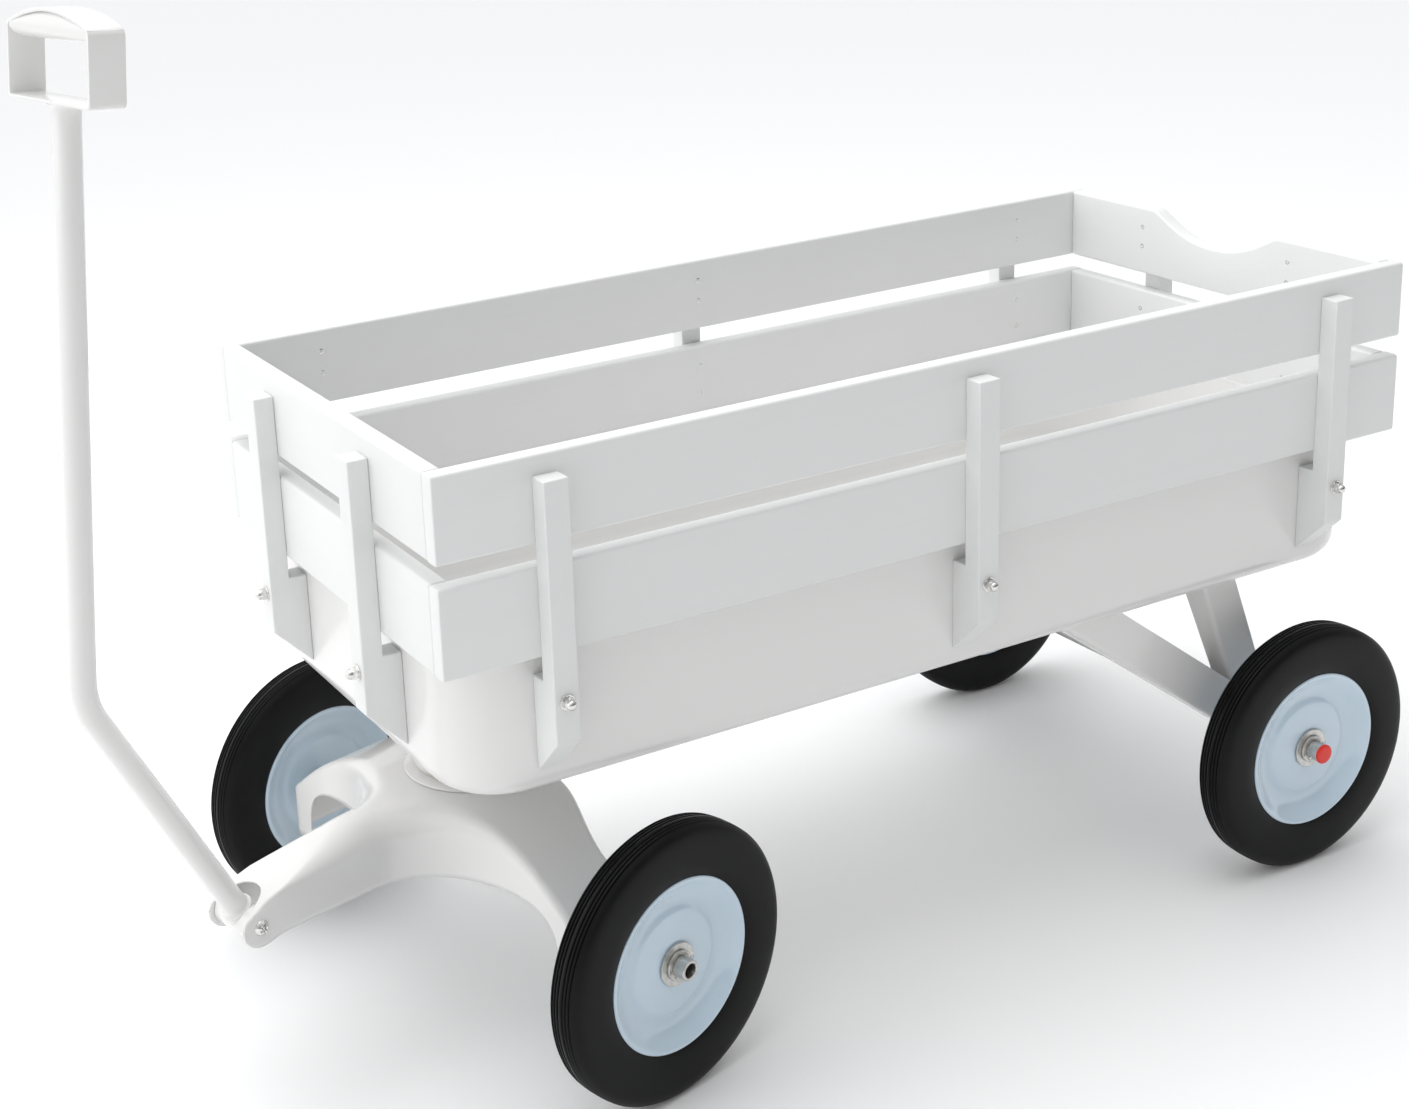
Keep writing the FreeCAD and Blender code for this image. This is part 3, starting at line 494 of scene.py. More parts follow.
PLATED = plated_effect()
bright_steel = finish("bright_steel", PLATED,
                      {"Paint": (0.80, 0.80, 0.79, 1), "Dull": (0.62, 0.61, 0.59, 1), "Lines": 0.5,
                       "Gloss": 0.10}, 0.00002, metallic=1.0, coordinates="UV")
zinc_steel = finish("zinc_steel", PLATED,
                    {"Paint": (0.66, 0.66, 0.64, 1), "Dull": (0.46, 0.455, 0.43, 1), "Lines": 1.0,
                     "Gloss": 0.26}, 0.00004, metallic=0.95, coordinates="UV")


def spun(profile, steps=40, flats=None):
    """A profile of (radius, height) pairs turned about Z. With flats, the radius is held
    inside a hexagon: the smaller of the radius and half the width across the flats over the
    cosine of the angle from the nearest flat's middle, which also draws a nut's chamfers."""
    profile = np.asarray(profile, float)
    angle = np.linspace(0, 2 * math.pi, steps + 1)
    radius = np.repeat(profile[:, :1], steps + 1, axis=1)
    if flats:
        off_flat = (angle + math.pi / 6) % (math.pi / 3) - math.pi / 6
        radius = np.minimum(radius, flats / 2 / np.cos(off_flat))
    height = np.repeat(profile[:, 1:], steps + 1, axis=1)
    return np.stack([radius * np.cos(angle), radius * np.sin(angle), height], -1)


def cross_head(radius, rise, slot, depth, steps=64):
    """A screw head with a cross recess: the dome's height is the rise times one minus the
    share of the radius to a power, and the recess lowers it wherever the point lies within
    half a slot's width of either arm and inside the arms' reach."""
    share = np.array([0, 0.1, 0.2, 0.3, 0.4, 0.48, 0.54, 0.6, 0.72, 0.84, 0.93, 0.98, 1.0])[:, None]
    angle = np.linspace(0, 2 * math.pi, steps + 1)[None]
    x, y = radius * share * np.cos(angle), radius * share * np.sin(angle)
    dome = rise * (1 - share ** 2.6) + 0 * angle
    off_arm = np.minimum(abs(x), abs(y))
    inside = np.clip((slot / 2 * 1.3 - off_arm) / (slot * 0.3), 0, 1)
    inside = inside * np.clip((0.57 - share) / 0.06, 0, 1)
    head = np.stack([x, y, dome - depth * inside * (1 - 0.5 * share)], -1)
    skirt = np.stack([x[-1], y[-1], np.full(steps + 1, -0.0006)], -1)
    foot = skirt * [0.0, 0.0, 1.0]
    return np.concatenate([head, skirt[None], foot[None]])


def aimed(points, place, axis, turn=0.0):
    """Turn points so that Z looks along an axis, and move them."""
    spin = Vector(axis).to_track_quat("Z", "Y").to_matrix() @ Matrix.Rotation(turn, 3, "Z")
    return points @ np.array(spin).T + np.array(place)


washer_ring = spun([(0.0031, 0), (WASHER[0] - 0.0003, 0), (WASHER[0], 0.0003), (WASHER[0], 0.0010),
                    (WASHER[0] - 0.0004, WASHER[1]), (0.0031, WASHER[1]), (0.0031, 0)])
cap_nut = spun([(0, 0), (0.0052, 0), (0.00577, 0.0005), (0.00577, 0.0038), (0.0050, 0.0045),
                (0.0046, 0.0046), (0.0045, 0.0058), (0.0041, 0.0072), (0.0032, 0.0085), (0.0018, 0.0093),
                (0, 0.0095)], 60, NUT_FLATS)
bolt_head = spun([(0, -0.0005), (0.0078, -0.0005), (0.0080, 0.0002), (0.0070, 0.0016), (0.0048, 0.0027),
                  (0.0024, 0.0031), (0, 0.0032)])
screw_head = cross_head(SCREW_HEAD, 0.0003, 0.0011, 0.0014, 24)
loose = {"cap_nuts": [], "washers": [], "bolts": [], "screws": []}
for index, (name, (x, y), angle) in enumerate(stake_places):
    outward = np.array([-math.sin(angle), math.cos(angle), 0.0])
    foot = np.array([x, y, BOLT_Z])
    reach = BOARD + STAKE[1]
    loose["washers"].append(aimed(washer_ring, foot + outward * reach, outward))
    loose["cap_nuts"].append(aimed(cap_nut, foot + outward * (reach + WASHER[1]), outward, 0.7 * index))
    loose["bolts"].append(aimed(bolt_head, foot - outward * TRAY_SHEET, -outward))
    for row, height in enumerate(SCREW_HEIGHTS):
        place = np.array([x, y, height])
        loose["screws"].append(aimed(screw_head, place, -outward, 1.1 * row + 0.9 * index))
for group, cad_node in (("cap_nuts", "stake_cap_nuts"), ("washers", "stake_washers"),
                        ("bolts", "stake_bolts"), ("screws", "board_screws")):
    piece = skin(f"stake_{group}_turned", loose[group], bright_steel, sharp=28)
    stands_for(piece, "body", "bright_steel", cad_node)


# ---- rear legs --------------------------------------------------------------------
# On each side a raked strut and a steeper upright carry the rear axle. Both are tapered
# channels folded from sheet, open to the rear, narrow at the axle and wide at the tray,
# with a foot plate bolted up under the floor.
LEG_SHEET = 0.0022
LEG_SIDE = 0.193                # outer face of the channels
LEG_DEPTH = 0.042
LEG_FOOT = 0.030
PLATE_SHEET = 0.003
PLATE_Z = TRAY_Z[0] - PLATE_SHEET
# For each kind: how far ahead of the axle it meets the tray, its width there, how far its
# section is drawn in, and half the length of its foot plate.
LEGS = (("strut", 0.232, 0.062, 0.0, 0.036), ("upright", 0.066, 0.040, 0.0026, 0.024))
PLATE_CORNER = 0.006


def leg_loops(top_x, top_width, nest):
    """A folded channel: its section runs down one flange, round two quarter bends and up the
    other, and returns along the inner face of the sheet. Every point of the section is
    carried in a straight line from the axle to where it meets the foot plate, while the
    width between the flanges grows evenly. nest draws the section in, so that one leg fits
    inside the other."""
    run = np.array([top_x, 0.0, TRAY_Z[0] - AXLE_Z])
    length = np.linalg.norm(run)
    run = run / length
    normal = np.array([run[2], 0.0, -run[0]])
    bend = 0.005
    quarter = np.linspace(0, math.pi / 2, 6)
    stations = np.linspace(0, 1, 41)
    grids = []
    for inset in (nest, nest + LEG_SHEET):
        radius = max(bend - inset + nest, 0.0008)
        front = LEG_DEPTH / 2 - inset
        rows = []
        for t in stations:
            width = LEG_FOOT + (top_width - LEG_FOOT) * t
            outer, inner = LEG_SIDE - inset, LEG_SIDE - width + inset
            section = [(-LEG_DEPTH / 2, outer)]
            section += [(front - radius + radius * math.sin(a), outer - radius + radius * math.cos(a))
                        for a in quarter]
            section += [(front - radius + radius * math.cos(a), inner + radius - radius * math.sin(a))
                        for a in quarter]
            section += [(-LEG_DEPTH / 2, inner)]
            rows.append(section)
        section = np.array(rows)
        foot = -0.010 / length
        top = (TRAY_Z[0] - PLATE_SHEET - AXLE_Z - section[..., 0] * normal[2]) / (run[2] * length)
        along = (foot + (top - foot) * stations[:, None]) * length
        grids.append(np.stack([REAR_AXLE.x + along * run[0] + section[..., 0] * normal[0], section[..., 1],
                               AXLE_Z + along * run[2] + section[..., 0] * normal[2]], -1))
    return grids


def folded(outer, inner):
    """Close two matching sheets, the faces of a bent plate, with strips along their edges."""
    strips = [np.stack([outer[0], inner[0]]), np.stack([outer[-1], inner[-1]]),
              np.stack([outer[:, 0], inner[:, 0]]), np.stack([outer[:, -1], inner[:, -1]])]
    return [outer, inner] + strips


for kind, top_x, top_width, nest, _ in LEGS:
    for side, sign in (("left", 1), ("right", -1)):
        sheets = [grid * [1, sign, 1] for grid in folded(*leg_loops(top_x, top_width, nest))]
        leg = skin(f"{kind}_{side}", sheets, white_enamel, sharp=40)
        stands_for(leg, "body", "white_enamel", f"rear_{kind}_{side}")

plate_sheets, bolt_sheets = [], []
for _, top_x, width, _, reach in LEGS:
    for sign in (1, -1):
        x, y = REAR_AXLE.x + top_x, sign * (LEG_SIDE - width / 2)
        rings = []
        for half_x, half_y, corner, z in ((reach - width / 2, 0.0, 0.0, PLATE_Z),
                                          (reach - 0.0005, width / 2 - 0.0005, 0.0055, PLATE_Z),
                                          (reach, width / 2, PLATE_CORNER, PLATE_Z + 0.0005),
                                          (reach, width / 2, PLATE_CORNER, TRAY_Z[0]),
                                          (reach - width / 2, 0.0, 0.0, TRAY_Z[0])):
            loop = round_rectangle(half_x, half_y, corner, 5)
            rings.append(np.column_stack([loop[:, 0] + x, loop[:, 1] + y, np.full(len(loop), z)]))
        plate_sheets.append(np.stack(rings))
        bolt_sheets.append((x, y))
plates = skin("leg_foot_plates", plate_sheets, white_enamel, sharp=40)
stands_for(plates, "body", "white_enamel", "leg_plates")

# ---- turntable --------------------------------------------------------------------
# A pressed cone bolted under the pan carries the kingpin; a nylon ring runs between it
# and the round plate on top of the saddle. Eight small bolts hold the cone and the legs.
SADDLE_TOP = 0.230
PLATE_RADIUS = 0.064
PLATE_TOP = SADDLE_TOP + 0.003
BEARING_RADIUS = 0.052
BEARING_TOP = PLATE_TOP + 0.0058
MOUNT_RIM = 0.092               # against the pan
MOUNT_BOLTS = 0.080             # radius of the ring of bolts
MOUNT_NECK = 0.071              # where the cone turns out into the rim
MOUNT_FOOT = 0.058
MOUNT_SHEET = 0.003
KINGPIN_RADIUS = 0.008
for k in range(4):
    angle = math.radians(45 + 90 * k)
    bolt_sheets.append((KINGPIN.x + MOUNT_BOLTS * math.cos(angle), MOUNT_BOLTS * math.sin(angle)))
under_nut = spun([(0, 0), (0.0050, 0), (0.00577, 0.0005), (0.00577, 0.0040), (0.0052, 0.0045),
                  (0.0034, 0.0045), (0.0030, 0.0042), (0.0030, 0.0050), (0.0024, 0.0055), (0, 0.0055)],
                 60, NUT_FLATS)
under_bolts = []
for index, (x, y) in enumerate(bolt_sheets):
    under_bolts.append(aimed(under_nut * [1, 1, 0.8], (x, y, PLATE_Z), (0, 0, -1), 0.5 * index))
    under_bolts.append(aimed(bolt_head * [0.92, 0.92, 0.92], (x, y, TRAY_Z[0] + TRAY_SHEET), (0, 0, 1)))
under_bolt_piece = skin("under_bolts_turned", under_bolts, zinc_steel, sharp=28)
stands_for(under_bolt_piece, "body", "zinc_steel", "under_bolts")

mount_foot = BEARING_TOP
mount_profile = [(KINGPIN_RADIUS, mount_foot), (MOUNT_FOOT - 0.006, mount_foot),
                 (MOUNT_FOOT - 0.002, mount_foot + 0.0008), (MOUNT_FOOT, mount_foot + 0.0034),
                 (MOUNT_NECK - 0.0016, PLATE_Z - 0.0062), (MOUNT_NECK, PLATE_Z - 0.0018),
                 (MOUNT_NECK + 0.003, PLATE_Z), (MOUNT_RIM - 0.0006, PLATE_Z),
                 (MOUNT_RIM, PLATE_Z + 0.0006), (MOUNT_RIM, TRAY_Z[0]), (MOUNT_NECK, TRAY_Z[0]),
                 (MOUNT_NECK - MOUNT_SHEET, TRAY_Z[0] - 0.003),
                 (MOUNT_FOOT - MOUNT_SHEET, mount_foot + 0.006),
                 (MOUNT_FOOT - 0.008, mount_foot + MOUNT_SHEET),
                 (KINGPIN_RADIUS, mount_foot + MOUNT_SHEET), (KINGPIN_RADIUS, mount_foot)]
mount = skin("turntable_cone", [spun(mount_profile, 96) + [KINGPIN.x, 0, 0]], white_enamel, sharp=32)
stands_for(mount, "body", "white_enamel", "turntable_mount")

nylon = finish("nylon", ENAMEL, {"Paint": (0.62, 0.60, 0.54, 1), "Drift": 0.10, "Peel": 0.6, "Gloss": 0.45,
                                 "Marks": 0.15}, 0.0001, Subsurface_Weight=0.1)
bearing_low = PLATE_TOP + 0.0002
bearing_bore = KINGPIN_RADIUS + 0.004
bearing_profile = [(bearing_bore, bearing_low), (BEARING_RADIUS - 0.0008, bearing_low),
                   (BEARING_RADIUS, bearing_low + 0.0008), (BEARING_RADIUS, BEARING_TOP - 0.0008),
                   (BEARING_RADIUS - 0.0008, BEARING_TOP), (bearing_bore, BEARING_TOP),
                   (bearing_bore, bearing_low)]
bearing = skin("bearing_ring", [spun(bearing_profile, 96) + [KINGPIN.x, 0, 0]], nylon, sharp=32)
stands_for(bearing, "body", "nylon", "turntable_bearing")
plate_profile = [(KINGPIN_RADIUS + 0.0002, SADDLE_TOP), (PLATE_RADIUS - 0.0012, SADDLE_TOP),
                 (PLATE_RADIUS - 0.0003, SADDLE_TOP + 0.0006), (PLATE_RADIUS, SADDLE_TOP + 0.0015),
                 (PLATE_RADIUS - 0.0003, PLATE_TOP - 0.0006), (PLATE_RADIUS - 0.0012, PLATE_TOP),
                 (KINGPIN_RADIUS + 0.0002, PLATE_TOP), (KINGPIN_RADIUS + 0.0002, SADDLE_TOP)]
turn_plate = skin("turntable_disc", [spun(plate_profile, 120) + [KINGPIN.x, 0, 0]], white_enamel, sharp=50)
stands_for(turn_plate, "steering", "white_enamel", "turntable_plate")

pin_low = SADDLE_TOP - 0.040
pin_head = mount_foot + MOUNT_SHEET
kingpin_bolt = spun([(0, pin_low), (0.0074, pin_low), (KINGPIN_RADIUS, pin_low + 0.001),
                     (KINGPIN_RADIUS, pin_head), (0.0132, pin_head), (0.01385, pin_head + 0.0006),
                     (0.01385, pin_head + 0.0070), (0.0120, pin_head + 0.0080), (0, pin_head + 0.0080)],
                    60, None)
kingpin_piece = skin("kingpin_turned", [kingpin_bolt + [KINGPIN.x, 0, 0]], zinc_steel, sharp=30)
stands_for(kingpin_piece, "body", "zinc_steel", "kingpin")
nut_low = pin_low + 0.0012
lock_nut = spun([(0.0082, nut_low), (0.0125, nut_low), (0.01385, nut_low + 0.0010),
                 (0.01385, nut_low + 0.0104), (0.0155, nut_low + 0.0108), (0.0160, nut_low + 0.0114),
                 (0.0160, nut_low + 0.0132), (0.0082, nut_low + 0.0135), (0.0082, nut_low)], 60, 0.024)
lock_nut_piece = skin("kingpin_nut_turned", [lock_nut + [KINGPIN.x, 0, 0]], zinc_steel, sharp=30)
stands_for(lock_nut_piece, "body", "zinc_steel", "kingpin_nut")
sleeve_low = nut_low + 0.014
sleeve_top = SADDLE_TOP - 0.0025
pin_sleeve = spun([(0.0082, sleeve_low), (0.0146, sleeve_low), (0.0150, sleeve_low + 0.0004),
                   (0.0150, sleeve_top), (0.0082, sleeve_top), (0.0082, sleeve_low)], 48)
pin_sleeve_piece = skin("kingpin_sleeve_turned", [pin_sleeve + [KINGPIN.x, 0, 0]], white_enamel, sharp=30)
stands_for(pin_sleeve_piece, "steering", "white_enamel", "kingpin_sleeve")

# ---- saddle -----------------------------------------------------------------------
# The steered saddle is one deep pressing with a rolled shoulder all round: two arms slope
# down to the axle, and a tongue runs forward between wide fillets to two round ears, with
# a notch between them that lets the handle stand up. Baked white enamel.
SADDLE_SPAN = 0.212
ARM_FRONT = 0.064
ARM_REAR = (-0.039, -0.013)     # rear edge under the turntable, and out at the wheels
REAR_BEND = (0.074, 0.160)      # how far across it stays at each
ARM_CORNER = 0.016
SPINE_X = 0.022                 # the line along the arms that the pressing is drawn in to
SPINE_END = 0.185
EAR_HALF = 0.027
FILLET_END = 0.150              # the fillets start this far forward and end this far across
FILLET_POWER = 2.35
HINGE = (0.262, 0.182)          # forward of the kingpin, and height
EAR_RADIUS = 0.018
NOTCH = (0.266, 0.020)          # middle of the notch's half-round back, and its radius
SKIRT_Z = (0.106, 0.168)        # lower edge at the legs, and everywhere else
SADDLE_SHEET = 0.0024


def steered(points):
    """Carry points drawn about the kingpin with the axle square to where the axle stands."""
    return carried(points, STEER, (KINGPIN.x, 0.0, 0.0))


def eased_step(value, low, high):
    """Nought below the low value and one above the high one, with a smooth S between."""
    t = np.clip((np.asarray(value) - low) / (high - low), 0, 1)
    return t * t * (3 - 2 * t)


def knee(value, width):
    """A line that is level below nought and rises one for one above it, rounded over a
    width: half the sum of the value and the root of its square plus the width's square."""
    return (value + np.sqrt(value * value + width * width)) / 2


def saddle_height(x, y):
    """The pressing's top: level over the turntable, falling as a parabola along the arms and
    as a straight slope along the tongue, a little steeper at the ears."""
    arms = 2.9 * np.clip(abs(y) - 0.045, 0, None) ** 2
    tongue = 0.25 * knee(x - 0.155, 0.012) + 0.33 * knee(x - 0.2535, 0.004)
    return SADDLE_TOP - arms - tongue


def rear_edge(y):
    """How far back the pressing reaches at a distance across the wagon."""
    return ARM_REAR[0] + (ARM_REAR[1] - ARM_REAR[0]) * float(eased_step(y, *REAR_BEND))


def saddle_edge():
    """Half the saddle's edge seen from above, from the ear's end to the middle of the rear,
    and for each point the place on the spine that the sheet runs in to. The tongue's side is
    straight, the fillet is a quarter of a slightly squared ellipse, the arm's end has two
    round corners, and the third value is the size of the rolled shoulder there."""
    edge, spine, roll = [], [], []

    def add(x, y, spine_x, spine_y, shoulder):
        edge.append((x, y))
        spine.append((spine_x, spine_y))
        roll.append(shoulder)

    for x in np.linspace(HINGE[0] + EAR_RADIUS - 0.0002, NOTCH[0], 16):
        opening = float(eased_step(x, NOTCH[0], NOTCH[0] + 0.006))
        inner = NOTCH[1] + (EAR_HALF - SADDLE_SHEET - NOTCH[1]) * opening
        add(x, EAR_HALF, x, inner, 0.0021)
    for a in np.linspace(0, math.pi / 2, 21)[1:]:
        x = NOTCH[0] - NOTCH[1] * math.sin(a)
        add(x, EAR_HALF, x, NOTCH[1] * math.cos(a), 0.003)
    for x in np.linspace(edge[-1][0], FILLET_END, 33)[1:]:
        add(x, EAR_HALF, x, 0.0, 0.003 + 0.304 * max(0.235 - x, 0.0))
    ridge = FILLET_END - SPINE_X
    for share in np.linspace(0, 1, 61)[1:]:
        a = share * math.pi / 2
        x = FILLET_END - (FILLET_END - ARM_FRONT) * math.sin(a) ** (2 / FILLET_POWER)
        y = FILLET_END - (FILLET_END - EAR_HALF) * abs(math.cos(a)) ** (2 / FILLET_POWER)
        travelled = share * (ridge + FILLET_END)
        shoulder = 0.007 + 0.0205 * math.exp(-((y - EAR_HALF) / 0.060) ** 1.6)
        if travelled < ridge:
            add(x, y, FILLET_END - travelled, 0.0, shoulder)
        else:
            add(x, y, SPINE_X, travelled - ridge, shoulder)
    arm_end = SADDLE_SPAN - ARM_CORNER
    for share in np.linspace(0, 1, 25)[1:]:
        y = FILLET_END + share * (arm_end - FILLET_END)
        add(ARM_FRONT, y, SPINE_X, FILLET_END + share * (SPINE_END - FILLET_END), 0.0075)
    back = [y for x, y in spine if x == SPINE_X]
    for a in np.linspace(0, math.pi / 2, 9)[1:]:
        add(ARM_FRONT - ARM_CORNER + ARM_CORNER * math.cos(a), arm_end + ARM_CORNER * math.sin(a),
            SPINE_X, SPINE_END, 0.008)
    for x in np.linspace(ARM_FRONT - ARM_CORNER, ARM_REAR[1] + ARM_CORNER, 8)[1:]:
        add(x, SADDLE_SPAN, SPINE_X, SPINE_END, 0.008)
    for a in np.linspace(0, math.pi / 2, 9)[1:]:
        add(ARM_REAR[1] + ARM_CORNER - ARM_CORNER * math.sin(a), arm_end + ARM_CORNER * math.cos(a),
            SPINE_X, SPINE_END, 0.008)
    for y in reversed(back[:-1]):
        across = y
        if y > FILLET_END:
            across = FILLET_END + (y - FILLET_END) * (arm_end - FILLET_END) / (SPINE_END - FILLET_END)
        add(rear_edge(across), across, SPINE_X, y, 0.008)
    if back[0] > 0:
        add(rear_edge(0.0), 0.0, SPINE_X, 0.0, 0.008)
    return np.array(edge), np.array(spine), np.array(roll)


def saddle_half():
    """The pressing's skin over one half: every column starts at the skirt's lower edge, goes
    straight up, turns in over a rounded shoulder, and runs over the top to the spine. The
    skirt's lower edge is level and drops to the legs as a squared quarter ellipse; past the
    hinge both edges close in on the ear's circle."""
    edge, spine, roll = saddle_edge()
    along = np.gradient(edge, axis=0)
    along /= np.linalg.norm(along, axis=1)[:, None]
    inward = np.stack([-along[:, 1], along[:, 0]], -1)
    reach = np.linalg.norm(spine - edge, axis=1)
    inward *= np.sign((inward * (spine - edge)).sum(1))[:, None]
    radius = np.minimum(roll, np.clip(reach * 0.9, 0.0021, None))
    ear = np.sqrt(np.clip(EAR_RADIUS ** 2 - np.clip(edge[:, 0] - HINGE[0], 0, None) ** 2, 1e-8, None))
    past = edge[:, 0] > HINGE[0]
    share = np.clip((edge[:, 1] - 0.108) / 0.072, 0, 1)
    foot = SKIRT_Z[0] + (SKIRT_Z[1] - SKIRT_Z[0]) * (1 - share ** 3.6) ** (1 / 3.6)
    foot -= (SKIRT_Z[1] - HINGE[1] + EAR_RADIUS) * eased_step(edge[:, 0], 0.235, HINGE[0])
    foot = np.where(past, HINGE[1] - ear, foot)
    shoulder = edge + inward * radius[:, None]
    crest = saddle_height(shoulder[:, 0], shoulder[:, 1])
    crest = np.where(past, np.minimum(crest, HINGE[1] + ear), crest)
    radius_up = np.minimum(roll, (crest - foot) * 0.45)
    rows = []
    for t in np.linspace(0, 1, 9):
        rows.append(np.column_stack([edge, foot + t * (crest - radius_up - foot)]))
    for a in np.linspace(0, math.pi / 2, 11)[1:]:
        flat = edge + inward * (radius * (1 - math.cos(a)))[:, None]
        rows.append(np.column_stack([flat, crest - radius_up * (1 - math.sin(a))]))
    for t in np.linspace(0, 1, 15)[1:]:
        flat = shoulder + t * (spine - shoulder)
        level = saddle_height(flat[:, 0], flat[:, 1])
        level = np.where(past, np.minimum(level, HINGE[1] + ear), level)
        rows.append(np.column_stack([flat, level]))
    return np.stack(rows)


half_saddle = saddle_half()
saddle = skin("saddle_pressing", [steered(half_saddle), steered(half_saddle * [1, -1, 1])], white_enamel,
              sharp=50, weld=2e-5)
wall = saddle.modifiers.new("sheet", "SOLIDIFY")
wall.thickness = SADDLE_SHEET
wall.offset = -1.0
stands_for(saddle, "steering", "white_enamel", "saddle")

# ---- axles ------------------------------------------------------------------------
# Each axle is a zinc-plated tube with open ends. Sleeves space the wheels off the saddle
# and the legs; outside each wheel come a broad washer, a thicker collar and a spring pin
# through the tube. The rear tube's ends are shut with red plastic caps.
AXLE_RADIUS = 0.0095
AXLE_BORE = 0.0065
TRACK_HALF = 0.248
HUB_HALF = 0.0105
AXLE_END = TRACK_HALF + 0.027
WASHER_FACE = TRACK_HALF + HUB_HALF + 0.0004


def axle_tube():
    """The tube's section turned about its own line: outer wall, chamfered rims, bore."""
    rim = [(AXLE_BORE + 0.0004, AXLE_END), (AXLE_RADIUS - 0.0007, AXLE_END),
           (AXLE_RADIUS - 0.0001, AXLE_END - 0.0007), (AXLE_RADIUS, AXLE_END - 0.0015)]
    back = [(r, -h) for r, h in reversed(rim)]
    return spun(rim + back + [(AXLE_BORE, -AXLE_END + 0.0006), (AXLE_BORE, AXLE_END - 0.0006), rim[0]], 48)


def keepers():
    """Washer, collar and spring pin on both ends of an axle, drawn along Z from its middle."""
    bore = AXLE_RADIUS + 0.0001
    face = WASHER_FACE
    washer = [(bore, face), (0.0194, face), (0.0200, face + 0.0003), (0.0200, face + 0.0012),
              (0.0195, face + 0.0016), (bore, face + 0.0016), (bore, face)]
    collar = [(bore, face + 0.0016), (0.0132, face + 0.0016), (0.0140, face + 0.0021),
              (0.0140, face + 0.0036), (0.0134, face + 0.0042), (0.0112, face + 0.0042),
              (0.0106, face + 0.0035), (bore, face + 0.0035), (bore, face + 0.0016)]
    sheets = [spun(washer, 64), spun(collar, 64)]
    pin = spun([(0, -0.0125), (0.0012, -0.0125), (0.0016, -0.0119), (0.0016, 0.0119), (0.0012, 0.0125),
                (0.0006, 0.0121), (0, 0.0121)], 24)
    sheets.append(aimed(pin, (0, 0, TRACK_HALF + 0.020), (0.83, 0.56, 0.0)))
    return sheets + [sheet * [1, -1, -1] for sheet in sheets]


def spacer(inner):
    """A plain sleeve between an inner face and each hub, drawn along Z."""
    outer_end = TRACK_HALF - HUB_HALF - 0.0004
    section = [(AXLE_RADIUS, inner), (0.0124, inner), (0.0130, inner + 0.0006),
               (0.0130, outer_end - 0.0006), (0.0124, outer_end), (AXLE_RADIUS, outer_end),
               (AXLE_RADIUS, inner)]
    return [spun(section, 48), spun(section, 48) * [1, -1, -1]]


def on_axle(sheets, end):
    """Lay sheets drawn along Z across the wagon, on the front or the rear axle."""
    laid = []
    for sheet in sheets:
        across = sheet[..., [0, 2, 1]] * [1, 1, -1]
        across = across + [0 if end == "front" else REAR_AXLE.x, 0, AXLE_Z]
        laid.append(steered(across) if end == "front" else across)
    return laid


for end, body, inner in (("front", "steering", SADDLE_SPAN), ("rear", "body", LEG_SIDE)):
    for part, sheets in (("axle", [axle_tube()]), ("axle_keepers", keepers()),
                         ("axle_sleeves", spacer(inner))):
        piece = skin(f"{end}_{part}_turned", on_axle(sheets, end), zinc_steel, sharp=30)
        stands_for(piece, body, "zinc_steel", f"{end}_{part}")

red_plastic = finish("red_plastic", ENAMEL, {"Paint": (0.78, 0.022, 0.012, 1), "Drift": 0.10, "Peel": 0.4,
                                             "Gloss": 0.28, "Marks": 0.12}, 0.0001)
cap = spun([(0, AXLE_END - 0.004), (AXLE_BORE, AXLE_END - 0.004), (AXLE_BORE, AXLE_END),
            (0.0096, AXLE_END), (0.0099, AXLE_END + 0.0004), (0.0099, AXLE_END + 0.0020),
            (0.0093, AXLE_END + 0.0027), (0.0080, AXLE_END + 0.0030), (0.0040, AXLE_END + 0.0030),
            (0, AXLE_END + 0.0030)], 48)
caps = skin("axle_end_caps", on_axle([cap, cap * [1, -1, -1]], "rear"), red_plastic, sharp=40)
stands_for(caps, "body", "red_plastic", "axle_caps")

# ---- wheels -----------------------------------------------------------------------
# Solid black rubber tyres with six moulded grooves, on a pair of dished steel discs in
# pale blue-grey enamel, pressed on a plain steel hub that runs on the axle tube.
WHEEL_RADIUS = 0.127


def rubber_effect():
    """Moulded rubber on a chart measured around and across: a fine even grain, faint mould
    lines running round, and a grey bloom and road dust in soft patches."""
    tree, given, out = effect("moulded_rubber", [
        ("Paint", "Color", (0.01, 0.01, 0.01, 1)), ("Bloom", "Color", (0.03, 0.03, 0.03, 1)),
        ("Dust", "Float", 0.5), ("Gloss", "Float", 0.5)])
    chart = given["Vector"]
    rings = noise(tree, stretched(tree, chart, (3.0, 900.0, 1.0)), Scale=1.0, Detail=2.0)
    grain = noise(tree, chart, Scale=1500.0, Detail=2.0)
    put(tree, out["Height"], maths(tree, "MULTIPLY_ADD", rings, 0.7, grain))
    patch = ramp(tree, noise(tree, chart, Scale=22.0, Detail=6.0, Roughness=0.7), 0.42, 0.8)
    dusty = maths(tree, "MULTIPLY", patch, given["Dust"])
    put(tree, out["Color"], blend(tree, dusty, given["Paint"], given["Bloom"]))
    put(tree, out["Roughness"], maths(tree, "MULTIPLY_ADD", dusty, 0.25, given["Gloss"]))
    return tree


rubber = finish("rubber", rubber_effect(),
                {"Paint": (0.0035, 0.0035, 0.0038, 1), "Bloom": (0.009, 0.009, 0.0095, 1), "Dust": 0.5,
                 "Gloss": 0.40}, 0.00012, coordinates="UV", Specular_IOR_Level=0.16)
blue_grey_enamel = finish("blue_grey_enamel", ENAMEL,
                          {"Paint": (0.60, 0.73, 0.83, 1), "Drift": 0.03, "Peel": 0.6, "Gloss": 0.12,
                           "Marks": 0.03}, 0.00014, Coat_Weight=0.5, Coat_Roughness=0.05)


